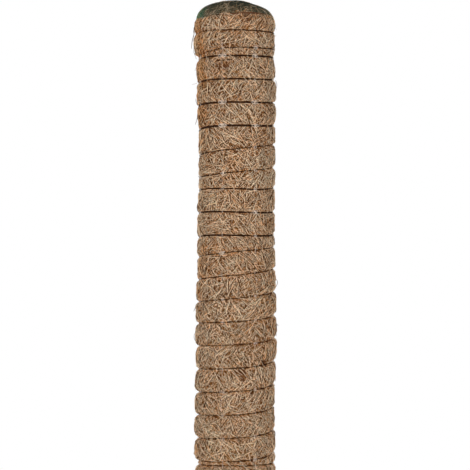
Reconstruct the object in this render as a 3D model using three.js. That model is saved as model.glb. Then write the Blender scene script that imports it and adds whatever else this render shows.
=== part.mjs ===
// A coir moss pole. A pointed wooden stake carries a coir fill in a green net, wrapped in a coir mat.
// One dark thread binds the mat in a helix and draws it into bulges, and light threads run along it.
// Millimetres, +Z up. The origin is on the axis at the mat's flat foot, which stands on the soil.
// Angles start at the front, which faces -Y, and grow towards +X.

import * as THREE from 'three';

const TAU = 2 * Math.PI;

// Gap between neighbouring pieces, and the sides of every round piece
const CLEARANCE = 0.3;
const ROUND_SIDES = 15;

// Length from the mat's foot to the top of the dome, and of the bare stake below
const COVERED_LENGTH = 359;
const STAKE_BARE_LENGTH = 91;

// Stake, from its point up to its covered top
const STAKE_DIAMETER = 22;
const STAKE_POINT_LENGTH = 32;
const STAKE_TIP_DIAMETER = 4;
const STAKE_TOP_CHAMFER = 1.5;
const STAKE_TOP_DEPTH = 17;

// Layers from the stake outwards
const FILL_THICKNESS = 8.7;
const FILL_FOOT_RECESS = 2;
const NET_THICKNESS = 0.8;
const MAT_GROOVE_WALL = 1.6;
const MAT_BULGE = 2;

// Binding thread: right-handed turns, counted from 0 at the front of the lowest whole turn
const BINDING_DIAMETER = 0.8;
const TURN_COUNT = 24;
const FIRST_TURN_HEIGHT = 14;
const WINDING_TOP_GAP = 2.5;
const WINDING_START_ANGLE = THREE.MathUtils.degToRad(159 - 360);
// Spans that climb less than a plain turn, by a share of its pitch, or more where the share is negative
const CLOSE_TURNS = [
  { first: -0.5, last: 1.8, share: -0.84 },
  { first: 1.9, last: 2.75, share: 0.84 },
  { first: 12, last: 13, share: 0.3 },
  { first: 15, last: 16, share: 0.28 },
  { first: 21.15, last: 21.84, share: 0.88 },
  { first: 21.75, last: 22, share: -0.24 },
  { first: 22, last: 23, share: 0.26 },
  { first: 23, last: 23.5, share: 0.3 },
];
// Spans of turns that climb less where they pass an angle, in degrees, and more on the far side
const LEVEL_TURNS = [
  { first: 0, last: 9.5, angle: -40, strength: 0.5 },
  { first: 13, last: 15, angle: 0, strength: 1.3 },
  { first: 18, last: 23, angle: 0, strength: 1.05 },
];
const LEVEL_FADE_TURNS = 0.5;
const BINDING_STEPS_PER_TURN = 22;
const BINDING_SIDES = 6;
const END_RAMP_TURNS = 0.1;

// Knots at the two ends of the binding thread
const KNOT_LENGTH = 3;
const KNOT_DIAMETER = 2.4;
const KNOT_END_DIAMETER = 1.6;
const KNOT_SIDES = 8;

// Lengthwise threads, spaced evenly round the pole
const LENGTHWISE_COUNT = 7;
const LENGTHWISE_DIAMETER = 0.6;
const LENGTHWISE_FIRST_ANGLE = THREE.MathUtils.degToRad(-21);
const LENGTHWISE_FOOT_INSET = 2.5;
const LENGTHWISE_SIDES = 4;

// Mat ends: a softened foot, and a swell above the winding's end that runs into the domed top
const FOOT_SOFTENING = 1;
const FOOT_SOFTENING_HEIGHT = 3;
const LIP_SOFTENING = 0.5;
const LIP_SOFTENING_HEIGHT = 6;
const TOP_SWELL = 2.7;
const TOP_SWELL_HEIGHT = 3;
const DOME_HEIGHT = 13.5;
const DOME_SQUARENESS = 2.6;
const DOME_RING_SHARES = [0, 0.3, 0.55, 0.77, 0.92, 1];
const LIP_RING_COUNT = 1;
const SWELL_RING_SHARES = [0, 0.35, 0.65];

// Mat rows in one turn: where they lie between two grooves, and how far they bulge
const MAT_ROWS = [
  { phase: 0, bulge: 0 },
  { phase: 0.3, bulge: 1 },
  { phase: 0.7, bulge: 1 },
];
// Turns that lie closer together than this leave a lower bulge between them
const FULL_BULGE_SPACING = 10;
const GROOVE_OVERRUN_TURNS = 0.08;
const GROOVE_FADE_TURNS = 0.2;
const SMALLEST_ROW = 0.5;

// Radii worked out from the layers
const stakeRadius = STAKE_DIAMETER / 2;
const fillBore = stakeRadius + CLEARANCE;
const fillRadius = fillBore + FILL_THICKNESS;
const netBore = fillRadius + CLEARANCE;
const netRadius = netBore + NET_THICKNESS;
const matBore = netRadius + CLEARANCE;
const grooveRadius = matBore + MAT_GROOVE_WALL;
const crestRadius = grooveRadius + MAT_BULGE;

// A straight step of a thread cuts inside its circle by this factor
const bindingChord = Math.cos(Math.PI / BINDING_STEPS_PER_TURN);
const bindingRadius = (grooveRadius + CLEARANCE + BINDING_DIAMETER / 2) / bindingChord;
const knotRadius = grooveRadius + 2 * CLEARANCE + KNOT_DIAMETER / 2;
const crossingRadius = bindingRadius + (BINDING_DIAMETER + LENGTHWISE_DIAMETER) / 2 + CLEARANCE;
const overCrestRadius = crestRadius + LENGTHWISE_DIAMETER / 2 + 1.5 * CLEARANCE;

// Turn numbers and heights worked out from the winding
const startTurn = WINDING_START_ANGLE / TAU;
const endTurn = startTurn + TURN_COUNT;
const domeBase = COVERED_LENGTH - DOME_HEIGHT;
const swellBase = domeBase - TOP_SWELL_HEIGHT;
const windingTop = swellBase - WINDING_TOP_GAP;
const turnPitch = (windingTop - FIRST_TURN_HEIGHT) / climb(endTurn);
const lipHeight = domeBase + DOME_HEIGHT * DOME_RING_SHARES[LIP_RING_COUNT];
const footRadius = crestRadius - endSoftening(0);
const lipRadius = crestRadius - endSoftening(lipHeight);
const stakeTop = lipHeight - STAKE_TOP_DEPTH;
const lengthwiseTop = lipHeight - LIP_SOFTENING_HEIGHT;

function smoothStep(value) {
  const clamped = THREE.MathUtils.clamp(value, 0, 1);
  return clamped * clamped * (3 - 2 * clamped);
}

// How far the winding has climbed at a turn number, in plain pitches
function climb(turn) {
  let pitches = turn;
  for (const { first, last, share } of CLOSE_TURNS) {
    pitches -= share * smoothStep((turn - first) / (last - first));
  }
  for (const { first, last, angle, strength } of LEVEL_TURNS) {
    const rising = smoothStep((turn - first) / LEVEL_FADE_TURNS + 1);
    const falling = smoothStep((last - turn) / LEVEL_FADE_TURNS + 1);
    const levelAngle = THREE.MathUtils.degToRad(angle);
    const swing = Math.sin(TAU * turn - levelAngle) + Math.sin(levelAngle);
    pitches -= (strength * rising * falling * swing) / TAU;
  }
  return pitches;
}

// Height of the winding's centre line at a turn number
function windingHeight(turn) {
  return FIRST_TURN_HEIGHT + turnPitch * climb(turn);
}

function onPole(angle, radius, height) {
  return new THREE.Vector3(radius * Math.sin(angle), -radius * Math.cos(angle), height);
}

// A turned piece from a profile of [radius, height] pairs, standing on +Z
function turned(profile, sides = ROUND_SIDES) {
  const points = profile.map(([radius, height]) => new THREE.Vector2(radius, height));
  const geometry = new THREE.LatheGeometry(points, sides);
  geometry.rotateX(Math.PI / 2);
  return geometry;
}

// A surface from triangles of points, without those that have shrunk to a line
function fromTriangles(triangles) {
  const positions = [];
  for (const [a, b, c] of triangles) {
    if (a.equals(b) || b.equals(c) || c.equals(a)) continue;
    positions.push(...a.toArray(), ...b.toArray(), ...c.toArray());
  }
  const geometry = new THREE.BufferGeometry();
  geometry.setAttribute('position', new THREE.Float32BufferAttribute(positions, 3));
  geometry.computeVertexNormals();
  return geometry;
}

// Two triangles for a four-sided face whose corners run anticlockwise seen from outside
function quad(a, b, c, d) {
  return [
    [a, b, c],
    [a, c, d],
  ];
}

// A closed tube through points round the pole, with one flat of its section facing away from the axis
function closedTube(points, diameter, sides) {
  const rings = points.map((point, index) => {
    const before = points[Math.max(index - 1, 0)];
    const after = points[Math.min(index + 1, points.length - 1)];
    const along = after.clone().sub(before).normalize();
    const outward = new THREE.Vector3(point.x, point.y, 0);
    outward.addScaledVector(along, -outward.dot(along)).normalize();
    const across = along.clone().cross(outward);
    return Array.from({ length: sides }, (_, side) => {
      const angle = (TAU * (side + 0.5)) / sides;
      const corner = point.clone();
      corner.addScaledVector(outward, (diameter / 2) * Math.cos(angle));
      return corner.addScaledVector(across, (diameter / 2) * Math.sin(angle));
    });
  });
  const triangles = [];
  for (let step = 0; step + 1 < rings.length; step += 1) {
    const ring = rings[step];
    const ringAhead = rings[step + 1];
    for (let side = 0; side < sides; side += 1) {
      const next = (side + 1) % sides;
      triangles.push(...quad(ring[side], ring[next], ringAhead[next], ringAhead[side]));
    }
  }
  const first = rings[0];
  const last = rings[rings.length - 1];
  for (let side = 1; side + 1 < sides; side += 1) {
    triangles.push([first[0], first[side + 1], first[side]]);
    triangles.push([last[0], last[side], last[side + 1]]);
  }
  return fromTriangles(triangles);
}

// Profile from the outer foot edge up to the apex, for a layer this far inside the net's outer face
function layerProfile(inset, footHeight) {
  const radius = netRadius - inset;
  const profile = [[radius, footHeight]];
  for (const share of SWELL_RING_SHARES) {
    profile.push([radius + TOP_SWELL * smoothStep(share), swellBase + TOP_SWELL_HEIGHT * share]);
  }
  for (const share of DOME_RING_SHARES) {
    const width = (1 - share ** DOME_SQUARENESS) ** (1 / DOME_SQUARENESS);
    profile.push([(radius + TOP_SWELL) * width, domeBase + (DOME_HEIGHT - inset) * share]);
  }
  return profile;
}

function stakeGeometry() {
  const pointTop = STAKE_POINT_LENGTH - STAKE_BARE_LENGTH;
  return turned([
    [0, -STAKE_BARE_LENGTH],
    [STAKE_TIP_DIAMETER / 2, -STAKE_BARE_LENGTH],
    [stakeRadius, pointTop],
    [stakeRadius, stakeTop - STAKE_TOP_CHAMFER],
    [stakeRadius - STAKE_TOP_CHAMFER, stakeTop],
    [0, stakeTop],
  ]);
}

function fibreCoreGeometry() {
  const holeTop = stakeTop + CLEARANCE;
  return turned([
    [0, holeTop],
    [fillBore, holeTop],
    [fillBore, FILL_FOOT_RECESS],
    ...layerProfile(NET_THICKNESS + CLEARANCE, FILL_FOOT_RECESS),
  ]);
}

function netSleeveGeometry() {
  return turned([...layerProfile(NET_THICKNESS, 0).reverse(), ...layerProfile(0, 0)]);
}

// How much of the groove's depth there is at a turn number: none well past the thread's ends
function grooveShare(turn) {
  const below = (turn - startTurn + GROOVE_OVERRUN_TURNS) / GROOVE_FADE_TURNS + 1;
  const above = (endTurn + GROOVE_OVERRUN_TURNS - turn) / GROOVE_FADE_TURNS + 1;
  return smoothStep(below) * smoothStep(above);
}

// How full the bulge is between two turns this far apart
function bulgeFullness(spacing) {
  return Math.min(1, spacing / FULL_BULGE_SPACING);
}

// How far the mat's outside falls away at a height near its foot or its lip
function endSoftening(height) {
  const foot = THREE.MathUtils.clamp(1 - height / FOOT_SOFTENING_HEIGHT, 0, 1);
  const lip = THREE.MathUtils.clamp(1 - (lipHeight - height) / LIP_SOFTENING_HEIGHT, 0, 1);
  return FOOT_SOFTENING * foot * foot + LIP_SOFTENING * lip * lip;
}

// A point of the mat's outside. A row follows the helix, so it closes on the row one turn above.
function matPoint(column, row) {
  const whole = Math.floor(row / MAT_ROWS.length);
  const { phase, bulge } = MAT_ROWS[row - whole * MAT_ROWS.length];
  const turn = column / ROUND_SIDES + whole;
  const angle = (TAU * (column % ROUND_SIDES)) / ROUND_SIDES;
  const low = windingHeight(turn);
  const high = windingHeight(turn + 1);
  const height = THREE.MathUtils.lerp(low, high, phase);
  if (height < SMALLEST_ROW) return onPole(angle, footRadius, 0);
  if (height > lipHeight - SMALLEST_ROW) return onPole(angle, lipRadius, lipHeight);
  const drawnIn = MAT_BULGE * (1 - bulge * bulgeFullness(high - low)) * grooveShare(turn);
  return onPole(angle, crestRadius - drawnIn - endSoftening(height), height);
}

function coirMatGeometry() {
  const triangles = [];
  const lowestRow = MAT_ROWS.length * (Math.floor(startTurn) - 2);
  const highestRow = MAT_ROWS.length * (Math.ceil(endTurn) + 2);
  const swellRings = layerProfile(-CLEARANCE, 0).slice(0, 1 + SWELL_RING_SHARES.length);
  const lipRing = layerProfile(0, 0)[1 + SWELL_RING_SHARES.length + LIP_RING_COUNT];
  const domeBaseRing = layerProfile(-CLEARANCE, 0)[1 + SWELL_RING_SHARES.length];
  const boreRings = [...swellRings, domeBaseRing, [lipRing[0] + CLEARANCE, lipHeight]];
  for (let column = 0; column < ROUND_SIDES; column += 1) {
    for (let row = lowestRow; row < highestRow; row += 1) {
      const low = matPoint(column, row);
      const lowNext = matPoint(column + 1, row);
      triangles.push(...quad(low, lowNext, matPoint(column + 1, row + 1), matPoint(column, row + 1)));
    }
    const angle = (TAU * column) / ROUND_SIDES;
    const nextAngle = (TAU * ((column + 1) % ROUND_SIDES)) / ROUND_SIDES;
    const section = [...boreRings];
    section.unshift([footRadius, 0]);
    section.push([lipRadius, lipHeight]);
    for (let ring = 0; ring + 1 < section.length; ring += 1) {
      const [radius, height] = section[ring];
      const [radiusAbove, heightAbove] = section[ring + 1];
      const here = onPole(angle, radius, height);
      const above = onPole(angle, radiusAbove, heightAbove);
      const aboveNext = onPole(nextAngle, radiusAbove, heightAbove);
      triangles.push(...quad(here, above, aboveNext, onPole(nextAngle, radius, height)));
    }
  }
  return fromTriangles(triangles);
}

// Distance of the binding thread's centre line from the axis: it rises to its knots at the ends
function bindingDistance(turn) {
  const fromEnd = Math.min(turn - startTurn, endTurn - turn);
  return THREE.MathUtils.lerp(knotRadius, bindingRadius, smoothStep(fromEnd / END_RAMP_TURNS));
}

// Centre line of the binding thread, straight for one diameter at each end
function bindingPoints() {
  const steps = TURN_COUNT * BINDING_STEPS_PER_TURN;
  const points = [];
  for (let step = 0; step <= steps; step += 1) {
    const turn = startTurn + step / BINDING_STEPS_PER_TURN;
    points.push(onPole(TAU * turn, bindingDistance(turn), windingHeight(turn)));
  }
  const startDirection = points[0].clone().sub(points[1]).normalize();
  const endDirection = points[steps].clone().sub(points[steps - 1]).normalize();
  points.unshift(points[0].clone().addScaledVector(startDirection, BINDING_DIAMETER));
  points.push(points[steps + 1].clone().addScaledVector(endDirection, BINDING_DIAMETER));
  return points;
}

// Least gap between turns of a wound thread, measured between its points
function leastGapToItself(points, diameter, stepsPerTurn) {
  let least = Infinity;
  for (let first = 0; first < points.length; first += 1) {
    for (let second = first + Math.floor(stepsPerTurn / 2); second < points.length; second += 1) {
      least = Math.min(least, points[first].distanceTo(points[second]));
    }
  }
  return least - diameter;
}

// Centre line of a lengthwise thread: over each crossing with the binding thread and each bulge,
// up to where the mat starts to fall away to its lip
function lengthwisePoints(angle) {
  const firstCrossing = Math.ceil(startTurn - angle / TAU);
  const lastCrossing = Math.floor(endTurn - angle / TAU);
  const crossings = [];
  for (let whole = firstCrossing; whole <= lastCrossing; whole += 1) {
    crossings.push(windingHeight(whole + angle / TAU));
  }
  const points = [onPole(angle, overCrestRadius, LENGTHWISE_FOOT_INSET)];
  crossings.forEach((height, index) => {
    if (index > 0) {
      const fullness = bulgeFullness(height - crossings[index - 1]);
      const distance = THREE.MathUtils.lerp(crossingRadius, overCrestRadius, fullness);
      points.push(onPole(angle, distance, (crossings[index - 1] + height) / 2));
    }
    points.push(onPole(angle, crossingRadius, height));
  });
  points.push(onPole(angle, overCrestRadius, (crossings[crossings.length - 1] + lengthwiseTop) / 2));
  points.push(onPole(angle, overCrestRadius, lengthwiseTop));
  return points;
}

// A barrel-shaped knot that starts one clearance past a thread's end
function knotMesh(threadEnd, pointBefore, material) {
  const half = KNOT_LENGTH / 2;
  const geometry = turned([
    [0, -half],
    [KNOT_END_DIAMETER / 2, -half],
    [KNOT_DIAMETER / 2, 0],
    [KNOT_END_DIAMETER / 2, half],
    [0, half],
  ], KNOT_SIDES);
  const direction = threadEnd.clone().sub(pointBefore).normalize();
  const mesh = new THREE.Mesh(geometry, material);
  mesh.position.copy(threadEnd).addScaledVector(direction, CLEARANCE + half);
  mesh.quaternion.setFromUnitVectors(new THREE.Vector3(0, 0, 1), direction);
  return mesh;
}

function material(color, roughness) {
  return new THREE.MeshStandardMaterial({ color, roughness, metalness: 0 });
}

const group = new THREE.Group();
group.name = 'moss_pole';

function addPiece(name, mesh) {
  mesh.name = name;
  group.add(mesh);
}

const bindingLine = bindingPoints();
const bindingMaterial = material('#3a2110', 0.8);
const bindingEnd = bindingLine.length - 1;

addPiece('stake', new THREE.Mesh(stakeGeometry(), material('#b98f5e', 0.75)));
addPiece('fibre_core', new THREE.Mesh(fibreCoreGeometry(), material('#7d5a3c', 1)));
addPiece('net_sleeve', new THREE.Mesh(netSleeveGeometry(), material('#4c634a', 0.6)));
addPiece('coir_mat', new THREE.Mesh(coirMatGeometry(), material('#99795e', 1)));
const bindingGeometry = closedTube(bindingLine, BINDING_DIAMETER, BINDING_SIDES);
addPiece('binding_thread', new THREE.Mesh(bindingGeometry, bindingMaterial));
addPiece('binding_knot_bottom', knotMesh(bindingLine[0], bindingLine[1], bindingMaterial));
const topKnot = knotMesh(bindingLine[bindingEnd], bindingLine[bindingEnd - 1], bindingMaterial);
addPiece('binding_knot_top', topKnot);

for (let index = 0; index < LENGTHWISE_COUNT; index += 1) {
  const angle = LENGTHWISE_FIRST_ANGLE + (TAU * index) / LENGTHWISE_COUNT;
  const geometry = closedTube(lengthwisePoints(angle), LENGTHWISE_DIAMETER, LENGTHWISE_SIDES);
  addPiece(`lengthwise_thread_${index + 1}`, new THREE.Mesh(geometry, material('#c3b5aa', 0.5)));
}

const bindingGap = leastGapToItself(bindingLine, BINDING_DIAMETER, BINDING_STEPS_PER_TURN);
console.log(`binding_thread: least gap to itself ${bindingGap.toFixed(2)} mm`);

export default group;
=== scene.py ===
# A coir moss pole: a coir mat bound into bulges round a net of coir fill, on a pointed wooden stake.
# Lengths are in millimetres and angles in radians, unless a comment or a name says otherwise.
# Angles round the pole start at the front, which faces -Y.
import math
from collections import namedtuple

import bpy
import numpy as np
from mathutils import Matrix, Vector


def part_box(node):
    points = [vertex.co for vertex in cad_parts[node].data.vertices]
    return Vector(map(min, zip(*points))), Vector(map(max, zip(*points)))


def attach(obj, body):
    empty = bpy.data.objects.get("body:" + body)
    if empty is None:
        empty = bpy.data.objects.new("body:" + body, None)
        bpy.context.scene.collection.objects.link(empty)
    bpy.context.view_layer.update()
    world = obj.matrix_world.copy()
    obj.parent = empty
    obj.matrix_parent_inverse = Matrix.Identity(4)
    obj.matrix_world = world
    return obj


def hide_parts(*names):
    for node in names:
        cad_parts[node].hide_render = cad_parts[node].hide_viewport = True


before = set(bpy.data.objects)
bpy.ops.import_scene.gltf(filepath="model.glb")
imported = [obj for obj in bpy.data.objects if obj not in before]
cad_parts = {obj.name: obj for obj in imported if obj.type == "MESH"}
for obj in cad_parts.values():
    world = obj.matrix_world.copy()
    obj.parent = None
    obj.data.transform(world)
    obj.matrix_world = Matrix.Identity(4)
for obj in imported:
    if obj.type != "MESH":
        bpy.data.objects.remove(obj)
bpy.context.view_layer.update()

MM = 0.001
TAU = 2 * math.pi
BAKE_MAP = "OFBake"


def node_box(node):
    """Low and high corner of a solid's box"""
    low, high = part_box(node)
    return np.array(low) / MM, np.array(high) / MM


# Sizes read from the solids
mat_low, mat_high = node_box("coir_mat")
net_low, net_high = node_box("net_sleeve")
core_low, _ = node_box("fibre_core")
stake_low, stake_high = node_box("stake")
CREST = -mat_low[1]
FOOT = mat_low[2]
LIP = mat_high[2]
DOME_RADIUS = -net_low[1]
APEX = net_high[2]
CORE_FOOT = core_low[2]
CORE_RADIUS = -core_low[1]
STAKE_RADIUS = -stake_low[1]
STAKE_TIP = stake_low[2]
STAKE_TOP = stake_high[2]

# The winding, with the same turns as the solid
TURN_COUNT = 24
FIRST_TURN_HEIGHT = 14.0
START_DEGREES = 159 - 360
START_TURN = START_DEGREES / 360
END_TURN = START_TURN + TURN_COUNT
# Spans of turns that climb less than a plain turn, by a share of its pitch, or more if it is negative
CLOSE_TURNS = (
    (-0.5, 1.8, -0.84),
    (1.9, 2.75, 0.84),
    (12, 13, 0.3),
    (15, 16, 0.28),
    (21.15, 21.84, 0.88),
    (21.75, 22, -0.24),
    (22, 23, 0.26),
    (23, 23.5, 0.3),
)
# Spans of turns that climb less where they pass an angle, in degrees, by a strength
LEVEL_TURNS = ((0, 9.5, -40, 0.5), (13, 15, 0, 1.3), (18, 23, 0, 1.05))
LEVEL_FADE_TURNS = 0.5
# Spans of turns where the thread was pulled tight, with how tight
TIGHT_TURNS = ((12.7, 14.3, 0.7), (14.7, 15.3, 0.5), (17.7, 18.3, 1.0), (18.7, 21.3, 0.75))
TIGHT_FADE_TURNS = 0.3
GROOVE_OVERRUN_TURNS = 0.08
GROOVE_FADE_TURNS = 0.2
BINDING_DIAMETER = 0.8

# The mat and the domed top
CLEARANCE = 0.3
TOP_SWELL = 2.7
TOP_SWELL_HEIGHT = 3.0
DOME_HEIGHT = 13.5
DOME_SQUARENESS = 2.6
DOME_BASE = APEX - DOME_HEIGHT
SWELL_BASE = DOME_BASE - TOP_SWELL_HEIGHT
WINDING_TOP_GAP = 2.5
WINDING_TOP = SWELL_BASE - WINDING_TOP_GAP
MAT_BORE = DOME_RADIUS - TOP_SWELL + CLEARANCE
GROOVE_WALL = 1.5
GROOVE_RADIUS = MAT_BORE + GROOVE_WALL
BINDING_LIFT = 0.55
BINDING_RADIUS = GROOVE_RADIUS + BINDING_DIAMETER / 2 + BINDING_LIFT
# Depth of the outer fibres that cover the felt
FIBRE_COVER = 0.45
# How square the bulges are at heights up the pole
BULGE_SQUARENESS = ((60, 2.8), (120, 3.0), (170, 4.2), (260, 4.2), (300, 3.4))
# How much fuller the low bulges are, and how much they lose up the pole
LOW_FULLNESS = 0.75
FULLNESS_LOSS = 1.0
FULLNESS_LOSS_START = 110
FULLNESS_LOSS_HEIGHT = 120
# From this turn on the groove has only a share of its full depth
SHALLOW_TURN = 21.85
SHALLOW_FADE_TURNS = 0.3
SHALLOW_DEPTH = 0.45
# Turns that lie closer together than this leave a lower bulge between them
FULL_BULGE_GAP = 11.0
LOW_BULGE_POWER = 0.7
BROAD_LUMP_SIZE = 0.4
SMALL_LUMP_SIZE = 0.22
FOOT_SOFTENING = 1.0
FOOT_SOFTENING_HEIGHT = 3.0
LIP_SOFTENING = 1.6
LIP_SOFTENING_HEIGHT = 6.0
# How far the bulges stand out at the left and the right, at heights up the pole
SIDE_SWELLS = (
    (60, 1.2, -0.4),
    (85, 1.0, -1.0),
    (125, 0.2, 0.2),
    (160, 0.2, 0.6),
    (225, -0.3, -0.3),
    (265, -0.9, 0.4),
    (300, 0.4, 1.1),
    (312, 0.5, 0.8),
    (318, 0.7, -0.6),
    (324, 2.2, -0.2),
    (335, 2.6, 0.0),
    (345, 2.3, 0.2),
)

# How far the mat's edge hangs under its top at angles in degrees, and how ragged it is
LIP_DROPS = (
    (0, 0.2),
    (24, -0.6),
    (69, 1.4),
    (120, 1.6),
    (180, 1.5),
    (230, 2.5),
    (270, 3.2),
    (298, 3.9),
    (321, 2.7),
)
LIP_RAGGEDNESS = 0.5
# The edge stays at least this far above the dome's base
LEAST_LIP_RISE = 0.2
# How wide the dome spreads at the left and the right
LEFT_LEAN = 1.09
RIGHT_LEAN = 1.045
# How far the fill has slumped under the net at each side, where that starts and how wide it is
LEFT_SLUMP = 0.3
LEFT_SLUMP_START = 6
LEFT_SLUMP_WIDTH = 8
RIGHT_SLUMP = 1.8
RIGHT_SLUMP_START = 1
RIGHT_SLUMP_WIDTH = 14
SLUMP_RISE = 6
# How far fibres run over the mat's edge onto the dome, how far off it they lie, and how much they arch
LEAST_OVERRUN = 0.2
OVERRUN_SPREAD = 4.0
DOME_COVER = 0.15
DOME_ARCH = 0.2
# How far under the foot fibres lie, and how far from the stake they end there
FOOT_COVER = 0.1
FOOT_FIBRE_GAP = 4

# Lengthwise threads
LENGTHWISE_COUNT = 7
LENGTHWISE_FIRST_ANGLE = math.radians(-21)
LENGTHWISE_DIAMETER = 0.34

# The camera stands level in front of the pole
CAMERA_DISTANCE = 1250.0
CAMERA_HEIGHT = 205.3
CAMERA_SIDE = -0.66
PIXELS_ACROSS = 470
MM_PER_PIXEL = 0.658
SENSOR_WIDTH = 36.0

# Patterns of soft noise: cells round the pole and along it, and a seed
BROAD_LUMPS = (8, 26, 11)
SMALL_LUMPS = (38, 90, 12)
TONE_PATCHES = (10, 24, 31)
TINT_PATCHES = (9, 22, 32)
RISING_PATCHES = (18, 44, 33)
LIP_RAGS = (23, 1, 34)
LAY_PATCHES = (18, 44, 35)
RUST_FLECKS = (40, 70, 36)
RUST_PATCHES = (9, 20, 37)
BINDING_HEIGHTS = (23, 120, 41)
BINDING_DEPTHS = (31, 150, 42)
LENGTHWISE_SWAYS = (7, 70, 51)
HITCH_LOOPS = (9, 40, 52)
LENGTHWISE_DEPTHS = (7, 45, 61)
NET_SWAYS = (40, 90, 71)
FILL_LUMPS = (60, 200, 81)
STAKE_LUMPS = (9, 20, 91)


# Shape of the winding and the bulges

def smooth_step(value):
    """0 up to 0, 1 from 1 on, and an even curve between them"""
    clamped = np.clip(value, 0, 1)
    return clamped * clamped * (3 - 2 * clamped)


def span_strength(turn, first, last, fade, strength):
    """A strength that holds over a span of turns and fades out beside it"""
    rising = smooth_step((turn - first) / fade + 1)
    falling = smooth_step((last - turn) / fade + 1)
    return strength * rising * falling


def climb(turn):
    """How far the winding has climbed at a turn number, in plain pitches"""
    pitches = turn
    for first, last, share in CLOSE_TURNS:
        pitches = pitches - share * smooth_step((turn - first) / (last - first))
    for first, last, degrees, strength in LEVEL_TURNS:
        swing = np.sin(TAU * turn - math.radians(degrees)) + math.sin(math.radians(degrees))
        pitches = pitches - span_strength(turn, first, last, LEVEL_FADE_TURNS, strength) * swing / TAU
    return pitches


def tight_share(turn):
    """How tight the thread was pulled: the tight turns lie bare, and their dark thread is drawn thicker as
    painted shade of the open groove
    """
    share = 0
    for first, last, strength in TIGHT_TURNS:
        share = np.maximum(share, span_strength(turn, first, last, TIGHT_FADE_TURNS, strength))
    return share


TURN_PITCH = (WINDING_TOP - FIRST_TURN_HEIGHT) / climb(END_TURN)


def winding_height(turn):
    """Height of the binding thread's middle at a turn number"""
    return FIRST_TURN_HEIGHT + TURN_PITCH * climb(turn)


def groove_share(turn):
    """How much of a groove there is at a turn number: none well past the thread's ends"""
    below = (turn - START_TURN + GROOVE_OVERRUN_TURNS) / GROOVE_FADE_TURNS + 1
    above = (END_TURN + GROOVE_OVERRUN_TURNS - turn) / GROOVE_FADE_TURNS + 1
    return smooth_step(below) * smooth_step(above)


def shallow_share(turn):
    """Share of the full depth that the groove lacks at a turn number: the top turns hardly draw the mat in"""
    return (1 - SHALLOW_DEPTH) * smooth_step((turn - SHALLOW_TURN) / SHALLOW_FADE_TURNS)


def groove_depth(turn):
    """Share of the full depth that the groove has at a turn number"""
    return groove_share(turn) * (1 - shallow_share(turn))


def thread_radius(turn):
    """Radius of the binding thread's middle, at the bottom of its groove"""
    return BINDING_RADIUS + shallow_share(turn) * (CREST - FIBRE_COVER - GROOVE_RADIUS)


def soft_noise(angle, height, cells_round, cells_along, seed, variant=0):
    """Smooth noise from -1 to 1 over the pole, with no seam"""
    lattice = np.random.default_rng(seed + variant).uniform(-1, 1, (cells_along + 2, cells_round))
    across = np.mod(angle / TAU, 1) * cells_round
    along = np.clip(height / APEX, 0, 1) * cells_along
    column = np.floor(across).astype(int) % cells_round
    row = np.floor(along).astype(int)
    blend_across = smooth_step(across - np.floor(across))
    blend_along = smooth_step(along - np.floor(along))
    after = (column + 1) % cells_round
    low = lattice[row, column] * (1 - blend_across) + lattice[row, after] * blend_across
    high = lattice[row + 1, column] * (1 - blend_across) + lattice[row + 1, after] * blend_across
    return low * (1 - blend_along) + high * blend_along


def crest_radius(height):
    """Radius of the felt under its outer fibres: the lower bulges are fuller"""
    lost = FULLNESS_LOSS * smooth_step((height - FULLNESS_LOSS_START) / FULLNESS_LOSS_HEIGHT)
    foot = np.clip(1 - height / FOOT_SOFTENING_HEIGHT, 0, 1)
    lip = np.clip(1 - (LIP - height) / LIP_SOFTENING_HEIGHT, 0, 1)
    fuller = LOW_FULLNESS - lost
    return CREST - FIBRE_COVER + fuller - FOOT_SOFTENING * foot**2 - LIP_SOFTENING * lip**2


def lumps(angle, height):
    """How far the felt stands out or in at a place, apart from its bulges"""
    levels, left, right = np.transpose(SIDE_SWELLS)
    sideways = np.sin(angle)
    swell = np.interp(height, levels, left) * np.maximum(0, -sideways)
    swell = swell + np.interp(height, levels, right) * np.maximum(0, sideways)
    broad = BROAD_LUMP_SIZE * soft_noise(angle, height, *BROAD_LUMPS)
    return swell + broad + SMALL_LUMP_SIZE * soft_noise(angle, height, *SMALL_LUMPS)


def bulge_radius(angle, height, whole):
    """Radius of the felt on the bulge above the groove of this whole turn"""
    turn = whole + angle / TAU
    low = winding_height(turn)
    high = winding_height(turn + 1)
    phase = np.clip((height - low) / (high - low), 0, 1)
    squareness = np.interp(height, *np.transpose(BULGE_SQUARENESS))
    dip = 1 - np.sqrt(1 - np.abs(2 * phase - 1) ** squareness)
    share = np.where(phase < 0.5, groove_depth(turn), groove_depth(turn + 1))
    crest = crest_radius(height) + lumps(angle, height)
    fullness = np.clip((high - low) / FULL_BULGE_GAP, 0, 1) ** LOW_BULGE_POWER
    crest = GROOVE_RADIUS + (crest - GROOVE_RADIUS) * (1 - share * (1 - fullness))
    return crest - (crest - GROOVE_RADIUS) * dip * share


def home_turn(angle, height):
    """The whole turn whose groove lies under this place"""
    spare = 4
    wholes = np.arange(-spare, TURN_COUNT + spare + 1)
    heights = winding_height(wholes + (angle / TAU)[..., None])
    return wholes[np.sum(heights <= height[..., None], axis=-1) - 1]


def felt_radius(angle, height):
    """Radius of the felt at any angle and height"""
    around = np.mod(angle, TAU)
    return bulge_radius(around, height, home_turn(around, height))


def dome_width(share):
    """Width of the dome's rounded form at a share of its height, or its height at a share of its width"""
    return (1 - np.asarray(share) ** DOME_SQUARENESS) ** (1 / DOME_SQUARENESS)


def dome_height(distance):
    """Height of the net's outside over the dome at a distance from the axis"""
    share = np.clip(distance / DOME_RADIUS, 0, 1)
    return DOME_BASE + DOME_HEIGHT * dome_width(share)


def on_pole(angle, radius, height):
    """Points at angles round the axis, from the front"""
    return np.stack([radius * np.sin(angle), -radius * np.cos(angle), height + 0 * angle], axis=-1)


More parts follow.
